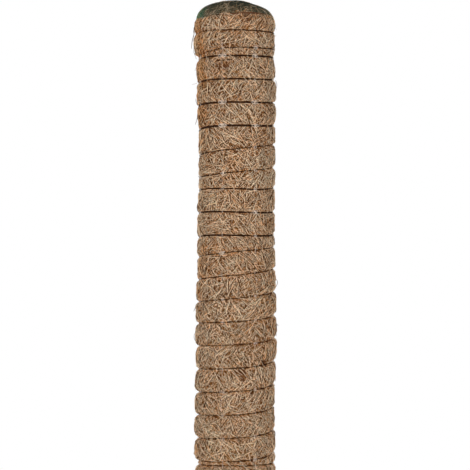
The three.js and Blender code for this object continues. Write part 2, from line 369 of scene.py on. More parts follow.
# The curve of the dome from its base to the apex
dome_distances = DOME_RADIUS * np.sin(np.linspace(math.pi / 2, 0, 240))
dome_heights = dome_height(dome_distances)
dome_steps = np.hypot(np.diff(dome_distances), np.diff(dome_heights))
dome_lengths = np.concatenate([[0], np.cumsum(dome_steps)])
DOME_REACH = dome_lengths[-1]


def slump(x, height):
    """How far the dome has sunk at a side, from its base up"""
    right = RIGHT_SLUMP * smooth_step((x - RIGHT_SLUMP_START) / RIGHT_SLUMP_WIDTH)
    left = LEFT_SLUMP * smooth_step((-x - LEFT_SLUMP_START) / LEFT_SLUMP_WIDTH)
    return (right + left) * smooth_step((height - DOME_BASE) / SLUMP_RISE)


def on_dome(u, v, lift):
    """Points of a flat round cloth laid over the dome, which spreads out at the sides"""
    distance = np.hypot(u, v) + 1e-9
    along = DOME_REACH - distance
    radius = np.interp(along, dome_lengths, dome_distances)
    height = np.interp(along, dome_lengths, dome_heights)
    x = radius * u / distance
    y = radius * v / distance
    x = x * np.where(x < 0, LEFT_LEAN, RIGHT_LEAN)
    return np.stack(np.broadcast_arrays(x, y, height - slump(x, height) + lift), axis=-1)


def lip_edge(angle):
    """Height of the mat's ragged top edge, which hangs lower at the left"""
    degrees = np.mod(np.degrees(angle), 360)
    drop = np.interp(degrees, *np.transpose(LIP_DROPS), period=360)
    ragged = LIP_RAGGEDNESS * soft_noise(angle, 0 * angle, *LIP_RAGS)
    return np.maximum(LIP - drop + ragged, DOME_BASE + LEAST_LIP_RISE)


def over_ends(rng, angle, radius, height, lift):
    """Points on the pole: fibres past the mat's edge lie on the dome, and those under the foot turn in"""
    edge = lip_edge(angle)
    overrun = LEAST_OVERRUN + OVERRUN_SPREAD * rng.uniform(0, 1, (len(angle), 1)) ** 3
    past = overrun * (1 - np.exp(-np.maximum(height - edge, 0) / overrun))
    along = np.interp(edge, dome_heights, dome_lengths) + past
    blend = smooth_step(past)
    sideways = np.sin(angle)
    lean = np.where(sideways < 0, LEFT_LEAN - 1, RIGHT_LEAN - 1) * sideways**2
    dome_radius = (np.interp(along, dome_lengths, dome_distances) + DOME_COVER) * (1 + lean)
    dome_top = np.interp(along, dome_lengths, dome_heights)
    dome_top = dome_top - slump(dome_radius * sideways, dome_top) + DOME_COVER + DOME_ARCH * lift
    under_foot = np.clip(FOOT - height, 0, CREST - STAKE_RADIUS - FOOT_FIBRE_GAP)
    past_edge = height > edge
    out = np.where(past_edge, radius * (1 - blend) + dome_radius * blend, radius - under_foot)
    up = np.where(past_edge, dome_top, np.where(height < FOOT, FOOT - FOOT_COVER - lift, height))
    return on_pole(angle, out, up)


# Meshes

def make_piece(name, points, face_lists, material, replaced=(), bake_places=None):
    """One piece of the object from points in millimetres and arrays of faces, riding on the pole"""
    faces = [np.asarray(f, dtype=np.int64) for f in face_lists if len(f)]
    mesh = bpy.data.meshes.new(name)
    mesh.vertices.add(len(points))
    mesh.vertices.foreach_set("co", (np.asarray(points, dtype=np.float64) * MM).ravel())
    corners = np.concatenate([f.ravel() for f in faces])
    sizes = np.concatenate([np.full(len(f), f.shape[1]) for f in faces])
    starts = np.concatenate([[0], np.cumsum(sizes)[:-1]])
    mesh.loops.add(len(corners))
    mesh.loops.foreach_set("vertex_index", corners.astype(np.int32))
    mesh.polygons.add(len(sizes))
    mesh.polygons.foreach_set("loop_start", starts.astype(np.int32))
    mesh.polygons.foreach_set("use_smooth", np.full(len(sizes), True))
    if bake_places is not None:
        layer = mesh.uv_layers.new(name=BAKE_MAP)
        layer.uv.foreach_set("vector", np.asarray(bake_places, dtype=np.float32)[corners].ravel())
    mesh.update(calc_edges=True)
    mesh.validate()
    mesh.materials.append(material)
    piece = bpy.data.objects.new(name, mesh)
    bpy.context.scene.collection.objects.link(piece)
    if replaced:
        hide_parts(*replaced)
    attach(piece, "root")
    return piece


def band(low, high):
    """Quads between closed rings of point numbers and the rings beside them"""
    corners = [low, np.roll(low, -1, axis=-1), np.roll(high, -1, axis=-1), high]
    return np.stack(corners, axis=-1).reshape(-1, 4)


def tubes(paths, radii, sides, lobes=0.0, twist=None, roll=0.0):
    """Closed tubes along paths of shape (count, rings, 3), with a radius for each ring.

    lobes draws the section in to a twisted pair of strands, and twist turns it along the path.
    Returns points, quads and end faces.
    """
    paths = np.asarray(paths, dtype=float)
    count, rings, _ = paths.shape
    along = np.gradient(paths, axis=1)
    along /= np.linalg.norm(along, axis=2, keepdims=True) + 1e-12
    # Nudged, so that a point on the axis has an outward side too
    outward = paths * (1, 1, 0) + (1e-4, 2e-4, 3e-4)
    outward -= along * np.sum(outward * along, axis=2, keepdims=True)
    outward /= np.linalg.norm(outward, axis=2, keepdims=True) + 1e-12
    across = np.cross(along, outward)
    corner = TAU * np.arange(sides) / sides
    section = 1 - lobes + lobes * np.cos(2 * corner)
    turned = np.zeros((count, rings)) if twist is None else np.broadcast_to(twist, (count, rings))
    angle = corner + (turned + np.reshape(roll, (-1, 1)))[..., None]
    reach = np.broadcast_to(radii, (count, rings))[..., None] * section
    points = paths[:, :, None] + (reach * np.cos(angle))[..., None] * outward[:, :, None]
    points = points + (reach * np.sin(angle))[..., None] * across[:, :, None]
    rows = np.arange(count * rings * sides).reshape(count, rings, sides)
    ends = np.concatenate([rows[:, 0, ::-1], rows[:, -1]])
    return points.reshape(-1, 3), band(rows[:, :-1], rows[:, 1:]), ends


def joined(parts):
    """Points, quads and end faces of several sets of tubes as one"""
    points = []
    faces = {}
    start = 0
    for part_points, *part_faces in parts:
        points.append(part_points)
        for face in part_faces:
            faces.setdefault(face.shape[1], []).append(face + start)
        start += len(part_points)
    return np.concatenate(points), [np.concatenate(group) for group in faces.values()]


def lathe(profile, sides, wobble):
    """A turned surface from (radius, height) pairs, from one end of the axis to the other, with a wobble"""
    profile = np.asarray(profile, dtype=float)
    angle = TAU * np.arange(sides) / sides
    radius = np.repeat(profile[1:-1, :1], sides, axis=1)
    height = np.repeat(profile[1:-1, 1:], sides, axis=1)
    radius = radius + wobble(angle[None, :], height)
    points = on_pole(np.broadcast_to(angle, radius.shape), radius, height).reshape(-1, 3)
    rows = np.arange(radius.size).reshape(radius.shape)
    low_pole = np.full(sides, radius.size)
    low_fan = np.stack([low_pole, np.roll(rows[0], -1), rows[0]], axis=1)
    high_fan = np.stack([low_pole + 1, rows[-1], np.roll(rows[-1], -1)], axis=1)
    poles = np.array([[0, 0, profile[0, 1]], [0, 0, profile[-1, 1]]])
    return np.concatenate([points, poles]), [band(rows[:-1], rows[1:]), np.concatenate([low_fan, high_fan])]


# Shader building blocks

def add_node(tree, kind, inputs=None, **settings):
    """A node with its settings, and inputs that are values or sockets to link from"""
    made = tree.nodes.new(kind)
    for key, value in settings.items():
        setattr(made, key, value)
    for key, value in (inputs or {}).items():
        socket = made.inputs[key]
        if isinstance(value, bpy.types.NodeSocket):
            tree.links.new(value, socket)
        else:
            socket.default_value = value
    return made


def math_node(tree, operation, first, second=0.0):
    """Output of a math node"""
    return add_node(tree, "ShaderNodeMath", {0: first, 1: second}, operation=operation).outputs[0]


# Sockets of a mix node that take and give colours
MIX_FIRST = 6
MIX_SECOND = 7
MIX_RESULT = 2


def mix_colours(tree, factor, first, second, blend="MIX"):
    """Output of a node that mixes two colours by a factor"""
    inputs = {0: factor, MIX_FIRST: first, MIX_SECOND: second}
    made = add_node(tree, "ShaderNodeMix", inputs, data_type="RGBA", blend_type=blend)
    return made.outputs[MIX_RESULT]


def colour_ramp(tree, factor, stops):
    """Output of a colour ramp with these stops, each a place and a colour"""
    made = add_node(tree, "ShaderNodeValToRGB", {0: factor})
    elements = made.color_ramp.elements
    while len(elements) < len(stops):
        elements.new(0.5)
    for element, (place, colour) in zip(elements, stops):
        element.position = place
        element.color = (*colour, 1)
    return made.outputs[0]


def vector_node(tree, operation, first, second):
    """Output of a vector math node"""
    key = "Scale" if operation == "SCALE" else 1
    return add_node(tree, "ShaderNodeVectorMath", {0: first, key: second}, operation=operation).outputs[0]


def noise_node(tree, place, scale, detail, roughness=0.5, distortion=0.0):
    """Outputs of a noise: in grey, and in colour"""
    return add_node(tree, "ShaderNodeTexNoise", {
        "Vector": place,
        "Scale": scale,
        "Detail": detail,
        "Roughness": roughness,
        "Distortion": distortion,
    }).outputs


def fade(tree, value, none, full):
    """A share that is 0 where the value is none and 1 where it is full"""
    inputs = {"Value": value, "From Min": none, "From Max": full}
    return add_node(tree, "ShaderNodeMapRange", inputs).outputs[0]


def new_group(name, inputs, outputs):
    """An empty node group with these sockets, and its input and output nodes"""
    tree = bpy.data.node_groups.new(name, "ShaderNodeTree")
    for socket, kind, default in inputs:
        made = tree.interface.new_socket(socket, in_out="INPUT", socket_type=kind)
        if default is not None:
            made.default_value = default
    for socket, kind in outputs:
        tree.interface.new_socket(socket, in_out="OUTPUT", socket_type=kind)
    return tree, tree.nodes.new("NodeGroupInput"), tree.nodes.new("NodeGroupOutput")


def unrolled_pole_group():
    """Object places as millimetres round the pole, along it and out from its axis"""
    tree, given, made = new_group(
        "unrolled_pole", [("Vector", "NodeSocketVector", None)], [("Unrolled", "NodeSocketVector")]
    )
    parts = add_node(tree, "ShaderNodeSeparateXYZ", {0: given.outputs["Vector"]}).outputs
    x, y, z = (math_node(tree, "DIVIDE", part, MM) for part in parts)
    angle = math_node(tree, "ARCTAN2", x, math_node(tree, "MULTIPLY", y, -1.0))
    squares = math_node(tree, "ADD", math_node(tree, "MULTIPLY", x, x), math_node(tree, "MULTIPLY", y, y))
    around = math_node(tree, "MULTIPLY", angle, CREST)
    unrolled = add_node(
        tree, "ShaderNodeCombineXYZ", {0: around, 1: z, 2: math_node(tree, "SQRT", squares)}
    )
    tree.links.new(unrolled.outputs[0], made.inputs["Unrolled"])
    return tree


# Streaks of the felt: their angles in degrees, how they differ and stretch, and how slowly they bend
STREAK_ANGLES = (12, 55, 98, 140)
STREAK_SHIFT = (7.3, 3.1, 1.0)
STREAK_DEPTH = 0.6
STREAK_ROUGHNESS = 0.6
STREAK_FADE = (0.45, 0.75)
BEND_SCALE = 0.22
DRIFT_FADE = (0.35, 0.65)


def fibre_felt_group():
    """Felted fibres: streaks in several directions, bent by a slow noise"""
    tree, given, made = new_group(
        "fibre_felt",
        [
            ("Vector", "NodeSocketVector", None),
            ("Fibre Width", "NodeSocketFloat", 0.35),
            ("Fibre Length", "NodeSocketFloat", 6.0),
            ("Bend", "NodeSocketFloat", 1.5),
        ],
        [("Felt", "NodeSocketFloat"), ("Depth", "NodeSocketFloat")],
    )
    place = given.outputs["Vector"]
    bends = noise_node(tree, place, BEND_SCALE, detail=1.0)[1]
    push = vector_node(tree, "SUBTRACT", bends, (0.5, 0.5, 0.5))
    bent = vector_node(tree, "ADD", place, vector_node(tree, "SCALE", push, given.outputs["Bend"]))
    across = math_node(tree, "DIVIDE", 1.0, given.outputs["Fibre Width"])
    along = math_node(tree, "DIVIDE", 1.0, given.outputs["Fibre Length"])
    stretch = add_node(tree, "ShaderNodeCombineXYZ", {0: along, 1: across, 2: STREAK_DEPTH}).outputs[0]
    felt = None
    for index, degrees in enumerate(STREAK_ANGLES):
        turn = {"Vector": bent, "Angle": math.radians(degrees)}
        turned = add_node(tree, "ShaderNodeVectorRotate", turn, rotation_type="Z_AXIS").outputs[0]
        shift = tuple(index * part for part in STREAK_SHIFT)
        shifted = vector_node(tree, "ADD", vector_node(tree, "MULTIPLY", turned, stretch), shift)
        streak = noise_node(tree, shifted, scale=1.0, detail=1.5, roughness=STREAK_ROUGHNESS)[0]
        felt = streak if felt is None else math_node(tree, "MAXIMUM", felt, streak)
    tree.links.new(fade(tree, felt, *STREAK_FADE), made.inputs["Felt"])
    tree.links.new(felt, made.inputs["Depth"])
    return tree


def slow_drift_group():
    """A slow wander between two colours"""
    tree, given, made = new_group(
        "slow_drift",
        [
            ("Vector", "NodeSocketVector", None),
            ("Size", "NodeSocketFloat", 12.0),
            ("First Colour", "NodeSocketColor", (0.5, 0.5, 0.5, 1)),
            ("Second Colour", "NodeSocketColor", (0.5, 0.5, 0.5, 1)),
        ],
        [("Colour", "NodeSocketColor"), ("Amount", "NodeSocketFloat")],
    )
    scale = math_node(tree, "DIVIDE", 1.0, given.outputs["Size"])
    amount = fade(tree, noise_node(tree, given.outputs["Vector"], scale, detail=2.0)[0], *DRIFT_FADE)
    colour = mix_colours(tree, amount, given.outputs["First Colour"], given.outputs["Second Colour"])
    tree.links.new(colour, made.inputs["Colour"])
    tree.links.new(amount, made.inputs["Amount"])
    return tree


unrolled_pole = unrolled_pole_group()
fibre_felt = fibre_felt_group()
slow_drift = slow_drift_group()


def place_group(tree, group, inputs):
    """Outputs of a node group that is placed in a tree"""
    return add_node(tree, "ShaderNodeGroup", inputs, node_tree=group).outputs


def new_material(name, roughness, specular):
    """A material with its tree, its shader, and the socket of its unrolled places in millimetres"""
    material = bpy.data.materials.new(name)
    material.use_nodes = True
    tree = material.node_tree
    shader = tree.nodes["Principled BSDF"]
    shader.inputs["Roughness"].default_value = roughness
    shader.inputs["Specular IOR Level"].default_value = specular
    place = add_node(tree, "ShaderNodeTexCoord").outputs["Object"]
    unrolled = place_group(tree, unrolled_pole, {"Vector": place})["Unrolled"]
    return material, tree, shader, unrolled


def bump(tree, shader, height, strength, distance):
    """Bump the shader's surface by a height socket"""
    made = add_node(
        tree, "ShaderNodeBump", {"Height": height, "Strength": strength, "Distance": distance * MM}
    )
    tree.links.new(made.outputs[0], shader.inputs["Normal"])


# Fibre colours in order of tone, from dark to pale, and what tints them, from rust to straw
FIBRE_TONES = (
    (0.0, (0.062, 0.017, 0.001)),
    (0.25, (0.23, 0.088, 0.021)),
    (0.5, (0.60, 0.274, 0.102)),
    (0.75, (1.0, 0.550, 0.273)),
    (1.0, (1.0, 0.825, 0.600)),
)
FIBRE_TINTS = (
    (0.0, (1.0, 0.76, 0.53)),
    (0.35, (1.0, 0.96, 0.92)),
    (0.7, (1.0, 0.985, 0.965)),
    (1.0, (0.98, 0.99, 0.91)),
)


def coir_fibre_material():
    """Each fibre lies at its own place on the map: its tone runs across, its tint runs up"""
    material, tree, shader, _ = new_material("coir_fibre", roughness=0.75, specular=0.04)
    place = add_node(tree, "ShaderNodeUVMap", uv_map=BAKE_MAP).outputs[0]
    tone, tint, _ = add_node(tree, "ShaderNodeSeparateXYZ", {0: place}).outputs
    plain = colour_ramp(tree, tone, FIBRE_TONES)
    tints = colour_ramp(tree, tint, FIBRE_TINTS)
    tree.links.new(mix_colours(tree, 1.0, plain, tints, "MULTIPLY"), shader.inputs["Base Color"])
    return material


FELT_DRIFT = 14.0
FELT_SHADE = 0.85
THREAD_DRIFT = 2.5


def felt_material(name, dark, light, width):
    """Matted coir under the outer fibres"""
    material, tree, shader, unrolled = new_material(name, roughness=0.9, specular=0.15)
    felt = place_group(tree, fibre_felt, {"Vector": unrolled, "Fibre Width": width})
    drift = place_group(tree, slow_drift, {
        "Vector": unrolled,
        "Size": FELT_DRIFT,
        "First Colour": (*(FELT_SHADE * part for part in light), 1),
        "Second Colour": (*light, 1),
    })
    colour = mix_colours(tree, felt["Felt"], (*dark, 1), drift["Colour"])
    tree.links.new(colour, shader.inputs["Base Color"])
    bump(tree, shader, felt["Depth"], strength=0.8, distance=0.6)
    return material


def thread_material(name, first, second, roughness, specular):
    """Thread whose colour changes a little along it"""
    material, tree, shader, unrolled = new_material(name, roughness, specular)
    drift = place_group(tree, slow_drift, {
        "Vector": unrolled, "Size": THREAD_DRIFT, "First Colour": (*first, 1), "Second Colour": (*second, 1)
    })
    tree.links.new(drift["Colour"], shader.inputs["Base Color"])
    return material


# Colours of the net: its mottling, the coir in it, the painted shade on its top and the fresh green at the
# left shoulder
NET_DARK_GREEN = (0.014, 0.022, 0.012, 1)
NET_LIGHT_GREEN = (0.095, 0.110, 0.065, 1)
NET_COIR_BROWN = (0.20, 0.15, 0.09, 1)
NET_PAINTED_SHADE_GREEN = (0.010, 0.015, 0.008, 1)
NET_FRESH_GREEN = (0.045, 0.15, 0.075, 1)
NET_MOTTLE = 1.5
NET_FLECK = 2.6
NET_BROWN_START = 14.0
NET_FRESH_FADE = (-18.5, -24.0)
NET_PAINTED_SHADE_FADE = (APEX - 8.0, APEX - 2.0)


def net_green_material():
    """Knitted net: mottled green, browned by coir towards its edge, darkened towards the apex by painted
    shade, and fresh green at the left shoulder
    """
    material, tree, shader, unrolled = new_material("net_green", roughness=0.6, specular=0.1)
    place = add_node(tree, "ShaderNodeTexCoord").outputs["Object"]
    place = vector_node(tree, "SCALE", place, 1 / MM)
    mottled = place_group(tree, slow_drift, {
        "Vector": place, "Size": NET_MOTTLE, "First Colour": NET_DARK_GREEN, "Second Colour": NET_LIGHT_GREEN
    })["Colour"]
    radius = add_node(tree, "ShaderNodeSeparateXYZ", {0: unrolled}).outputs[2]
    edge = fade(tree, radius, NET_BROWN_START, DOME_RADIUS)
    flecks = place_group(tree, slow_drift, {"Vector": place, "Size": NET_FLECK})["Amount"]
    colour = mix_colours(tree, math_node(tree, "MULTIPLY", edge, flecks), mottled, NET_COIR_BROWN)
    sideways, _, height = add_node(tree, "ShaderNodeSeparateXYZ", {0: place}).outputs
    # Painted shade: the net darkens towards its apex, where its top faces away from the lamps
    colour = mix_colours(tree, fade(tree, height, *NET_PAINTED_SHADE_FADE), colour, NET_PAINTED_SHADE_GREEN)
    colour = mix_colours(tree, fade(tree, sideways, *NET_FRESH_FADE), colour, NET_FRESH_GREEN)
    tree.links.new(colour, shader.inputs["Base Color"])
    return material


# Grain of the stake: how it is stretched along the wood, and its colours from late to early wood
GRAIN_STRETCH = (0.9, 0.035, 0.5)
GRAIN_SCALE = 0.8
GRAIN_DISTORTION = 0.6
FINE_GRAIN_STRETCH = (5.0, 0.2, 1.0)
FINE_GRAIN_SHARE = 0.3
WOOD_COLOURS = (
    (0.33, (0.30, 0.165, 0.07)),
    (0.45, (0.50, 0.31, 0.15)),
    (0.6, (0.62, 0.42, 0.23)),
    (0.75, (0.68, 0.49, 0.29)),
)


def stake_wood_material():
    """Planed softwood: grain lines along the stake, with darker late wood"""
    material, tree, shader, unrolled = new_material("stake_wood", roughness=0.7, specular=0.3)
    stretched = vector_node(tree, "MULTIPLY", unrolled, GRAIN_STRETCH)
    grain = noise_node(tree, stretched, GRAIN_SCALE, detail=4.0, distortion=GRAIN_DISTORTION)[0]
    finer = vector_node(tree, "MULTIPLY", unrolled, FINE_GRAIN_STRETCH)
    fine = noise_node(tree, finer, scale=1.0, detail=2.0)[0]
    broad_part = math_node(tree, "MULTIPLY", grain, 1 - FINE_GRAIN_SHARE)
    both = math_node(tree, "ADD", broad_part, math_node(tree, "MULTIPLY", fine, FINE_GRAIN_SHARE))
    tree.links.new(colour_ramp(tree, both, WOOD_COLOURS), shader.inputs["Base Color"])
    bump(tree, shader, both, strength=0.4, distance=0.4)
    return material


coir_fibre = coir_fibre_material()
coir_bed = felt_material("coir_bed", (0.060, 0.020, 0.008), (0.27, 0.125, 0.062), width=0.4)
coir_fill = felt_material("coir_fill", (0.025, 0.013, 0.006), (0.12, 0.07, 0.037), width=0.5)
binding_brown = thread_material(
    "binding_brown", (0.020, 0.008, 0.003), (0.050, 0.022, 0.009), roughness=0.75, specular=0.1
)
nylon_grey = thread_material(
    "nylon_grey", (0.52, 0.39, 0.29), (0.90, 0.76, 0.64), roughness=0.5, specular=0.2
)
net_green = net_green_material()
stake_wood = stake_wood_material()


# The felt of the mat

FELT_COLUMNS = 180
FELT_ROWS_PER_TURN = 14
# Rows that come closer than this to the mat's ends are drawn onto them
END_ROW = 0.25


def felt_outside(angle, edge):
    """The mat's outside, a helical grid whose rows follow the grooves, and its foot ring and lip ring"""
    spare = 2
    wholes = np.arange(math.floor(START_TURN) - spare, math.ceil(END_TURN) + spare)
    eased_rows = (1 - np.cos(math.pi * np.arange(FELT_ROWS_PER_TURN) / FELT_ROWS_PER_TURN)) / 2
    whole = np.repeat(wholes, FELT_ROWS_PER_TURN)[:, None]
    phase = np.tile(eased_rows, len(wholes))[:, None]
    turn = whole + angle / TAU
    height = winding_height(turn) * (1 - phase) + winding_height(turn + 1) * phase
    low_end = height < FOOT + END_ROW
    high_end = height > edge - END_ROW
    height = np.where(low_end, FOOT, np.where(high_end, edge, height))
    around = np.broadcast_to(angle, height.shape)
    points = on_pole(around, felt_radius(around, height), height).reshape(-1, 3)
    rows = len(height)
    column = np.arange(FELT_COLUMNS)
    index = np.arange(height.size).reshape(height.shape)
    foot_ring = index[low_end.sum(axis=0) - 1, column]
    lip_ring = index[rows - high_end.sum(axis=0), column]
    index = np.where(low_end, foot_ring, np.where(high_end, lip_ring, index))
    usable = rows - FELT_ROWS_PER_TURN - 1
    ahead = np.roll(index, -1, axis=1)
    ahead[:-FELT_ROWS_PER_TURN, -1] = index[FELT_ROWS_PER_TURN:, 0]
    low, low_next = index[:usable], ahead[:usable]
    high, high_next = index[1:usable + 1], ahead[1:usable + 1]
    triangles = np.concatenate([
        np.stack([low, low_next, high_next], axis=-1).reshape(-1, 3),
        np.stack([low, high_next, high], axis=-1).reshape(-1, 3),
    ])
    empty = (triangles == np.roll(triangles, 1, axis=1)).any(axis=1)
    return points, triangles[~empty], foot_ring, lip_ring


def make_felt():
    """The mat's body: its outside, closed by foot, bore and lip"""
    column = np.arange(FELT_COLUMNS)
    angle = TAU * column / FELT_COLUMNS
    edge = np.minimum(lip_edge(angle), LIP)
    points, triangles, foot_ring, lip_ring = felt_outside(angle, edge)
    edge_bore = DOME_RADIUS * dome_width((edge - DOME_BASE) / DOME_HEIGHT) + CLEARANCE
    bore = ((MAT_BORE, FOOT), (MAT_BORE, SWELL_BASE), (MAT_BORE + TOP_SWELL, DOME_BASE), (edge_bore, edge))
    rings = [foot_ring]
    for bore_radius, bore_height in bore:
        rings.append(len(points) + column)
        points = np.concatenate([points, on_pole(angle, bore_radius, bore_height)])
    rings.append(lip_ring)
    quads = []
    for ring, above in zip(rings, rings[1:]):
        quads.append(np.stack([ring, above, np.roll(above, -1), np.roll(ring, -1)], axis=1))
    corners = np.concatenate([triangles.ravel(), np.concatenate(quads).ravel()])
    used, compact = np.unique(corners, return_inverse=True)
    faces = [compact[:triangles.size].reshape(-1, 3), compact[triangles.size:].reshape(-1, 4)]
    piece = make_piece("coir_mat_felt", points[used], faces, coir_bed, ("coir_mat",))


# The fibres of the mat

FIBRE_SIDES = 3
# A layer with more triangles than this is made as two pieces
MOST_TRIANGLES = 190000
FIBRE_SEED = 7
TIP_SHARE = 0.5
# Two lays of fibres cross each other, each strong in its own patches
LAY_ANGLE = math.radians(46)
LAY_CONTRAST = 1.3
LAY_WANDER = 0.2
LAY_SCATTER = 0.40
LOOSE_SCATTER = 1.2
COMBED_ANGLE = math.radians(7)
COMBED_FIBRES = 0.85
COMBED_SCATTER = 0.4
WAVE_CURL = 0.35
WAVES_PER_FIBRE = (0.7, 1.8)
# Fibres are spread to this far above the mat's top, and left out where that is past the ragged edge
SPREAD_OVERRUN = 1.5
# Bound fibres stop short of a groove's middle, more so under a tight thread, and settle beside the groove
GROOVE_MARGIN = 0.3
TIGHT_MARGIN = 0.6
SETTLING_WIDTH = 1.5
SETTLED_SHARE = 0.2
ARCH_SINK = 0.6
SUNK_DEPTH = 0.9
PULLED_OUT_SHARE = 0.88
# How far the ends of loose fibres and the roots of stray hairs lie in the felt
LOOSE_SINK = 0.1
STRAY_SINK = 0.2
STRAY_SPREAD = 1.6
# Painted shadow: a dark fibre lies a step to one side of its light fibre and a little deeper
SHADOW_STEP = 0.48
SHADOW_DEPTH = 0.12
SHADOW_THICKNESS = (0.40, 0.68)
SHADOW_TONE = (0.0, 0.05)
# How tones and tints change in patches, between fibres and along them, and the painted shade that darkens
# fibres near the mat's top edge
TONE_CELL = 0.02
TONE_DRIFT = 0.07
TONE_WANDER = 0.1
LIP_PAINTED_SHADE = 0.12
LIP_PAINTED_SHADE_HEIGHT = 7
MIDDLE_TINT = 0.57
TINT_DRIFT = 0.26
TINT_SCATTER = 0.11
# Rust-brown fibres: where they fade in at the left, up the pole, towards the back and in patches there
RUST_TINT = 0.8
LEFT_RUST_FADE = (0.65, 0.9)
UPPER_RUST_FADE = (270, 290)
LOW_RUST_SHARE = 0.35
BACK_RUST_FADE = (-0.3, 0.2)
RUST_PATCH_FADE = (0.24, 0.64)
BACK_RUST_SHARE = 0.6

# Spots where fibres were pulled out of the mat: angle in degrees, height, half width and half height
BARE_SPOTS = (
    (16, 345.6, 3.8, 2.6),
    (-19, 314.5, 3.6, 2.7),
    (-27, 318.4, 1.4, 1.2),
    (-15, 327.5, 3.0, 1.2),
    (47, 122.0, 3.4, 2.6),
    (9, 115.5, 2.2, 4.6),
    (10, 101.0, 1.0, 3.4),
    (-42, 88.0, 1.5, 1.7),
    (-8, 214.0, 1.8, 1.2),
    (28, 262.0, 1.5, 1.2),
    (-33, 171.0, 1.6, 1.2),
    (95, 300.0, 2.2, 1.3),
    (140, 250.0, 1.6, 1.2),
    (200, 190.0, 2.0, 1.1),
    (250, 280.0, 1.8, 1.4),
    (170, 90.0, 1.5, 2.2),
    (120, 40.0, 1.8, 1.2),
    (290, 60.0, 1.6, 1.5),
    (330, 30.0, 1.7, 1.1),
)

# Patches where the fibres lie combed round the pole, in the same form
COMBED_PATCHES = (
    (-48, 247.0, 9.0, 5.0),
    (-50, 230.0, 10.0, 4.5),
    (-45, 211.5, 12.0, 5.0),
    (-30, 193.0, 5.0, 3.0),
    (60, 262.0, 7.0, 4.0),
    (120, 180.0, 9.0, 4.5),
    (190, 285.0, 8.0, 4.0),
    (215, 140.0, 10.0, 5.0),
    (260, 70.0, 8.0, 4.0),
)


def distance_squared(angle, height, patch):
    """How far places lie from a patch's middle, squared, where 1 is at its edge"""
    degrees, level, half_width, half_height = patch
    around = np.mod(angle - math.radians(degrees) + math.pi, TAU) - math.pi
    return (around * CREST / half_width) ** 2 + ((height - level) / half_height) ** 2


def combed_share(angle, height):
    """How strongly the fibres are combed, fading out at the edges of the patches"""
    share = np.zeros(angle.shape)
    for patch in COMBED_PATCHES:
        share = np.maximum(share, np.exp(-(distance_squared(angle, height, patch) ** 2)))
    return share


def in_bare_spot(angle, height):
    """Whether places lie in a spot where fibres were pulled out"""
    bare = np.zeros(angle.shape, dtype=bool)
    for spot in BARE_SPOTS:
        bare |= distance_squared(angle, height, spot) < 1
    return bare


def eased(value, none, full):
    """A smooth share that is 0 where the value is none and 1 where it is full"""
    return smooth_step((value - none) / (full - none))


def rust_share(angle, height):
    """How rusty fibres are: at the left, most of all high up, and weakly in patches behind"""
    left = eased(-np.sin(angle), *LEFT_RUST_FADE)
    upper = LOW_RUST_SHARE + (1 - LOW_RUST_SHARE) * eased(height, *UPPER_RUST_FADE)
    behind = eased(-np.cos(angle), *BACK_RUST_FADE)
    patches = eased(soft_noise(angle, height, *RUST_PATCHES), *RUST_PATCH_FADE)
    return upper * left + BACK_RUST_SHARE * behind * patches


def rounded(share):
    """A height that is full along the middle of a fibre and low at its ends"""
    inset = 0.05
    return np.sin(math.pi * ((1 - 2 * inset) * share + inset)) ** 0.5


def fibre_lines(rng, middle, segments, length, curl, scatter):
    """Fibres in the unrolled mat about their middles: two lays that cross, or combed ones"""
    angle, height = middle
    count = len(angle)
    share = np.linspace(0, 1, segments + 1)
    rising = rng.uniform(-1, 1, count) < LAY_CONTRAST * soft_noise(angle, height, *RISING_PATCHES)
    turned = LAY_WANDER * soft_noise(angle, height, *LAY_PATCHES)
    heading = np.where(rising, LAY_ANGLE, -LAY_ANGLE) + turned
    combed = rng.uniform(0, 1, count) < COMBED_FIBRES * combed_share(angle, height)
    scattered = np.where(combed, COMBED_SCATTER, 1) * rng.normal(0, scatter, count)
    heading = (np.where(combed, COMBED_ANGLE, heading) + scattered)[:, None]
    bend = rng.normal(0, curl, (count, 1)) * (share - 0.5)
    wave_size = rng.normal(0, WAVE_CURL * curl, (count, 1))
    waves = share * rng.uniform(*WAVES_PER_FIBRE, (count, 1)) + rng.uniform(0, 1, (count, 1))
    wave = wave_size * np.sin(TAU * waves)
    step = rng.uniform(*length, (count, 1)) / segments
    around = np.cumsum(np.cos(heading + bend + wave) * step, axis=1)
    along = np.cumsum(np.sin(heading + bend + wave) * step, axis=1)
    half = segments // 2
    around -= around[:, half:half + 1]
    along -= along[:, half:half + 1]
    return angle[:, None] + around / CREST, height[:, None] + along, share


def spread_middles(rng, count):
    """About one place in each cell of a grid over the mat, up to its ragged edge"""
    top = LIP + SPREAD_OVERRUN
    cell = math.sqrt(TAU * CREST * (top - FOOT) / count)
    columns = round(TAU * CREST / cell)
    rows = round((top - FOOT) / cell)
    column, row = (part.ravel() for part in np.meshgrid(np.arange(columns), np.arange(rows)))
    angle = TAU * (column + rng.uniform(0, 1, len(column))) / columns
    height = FOOT + (top - FOOT) * (row + rng.uniform(0, 1, len(row))) / rows
    kept = height < lip_edge(angle)
    return angle[kept], height[kept]


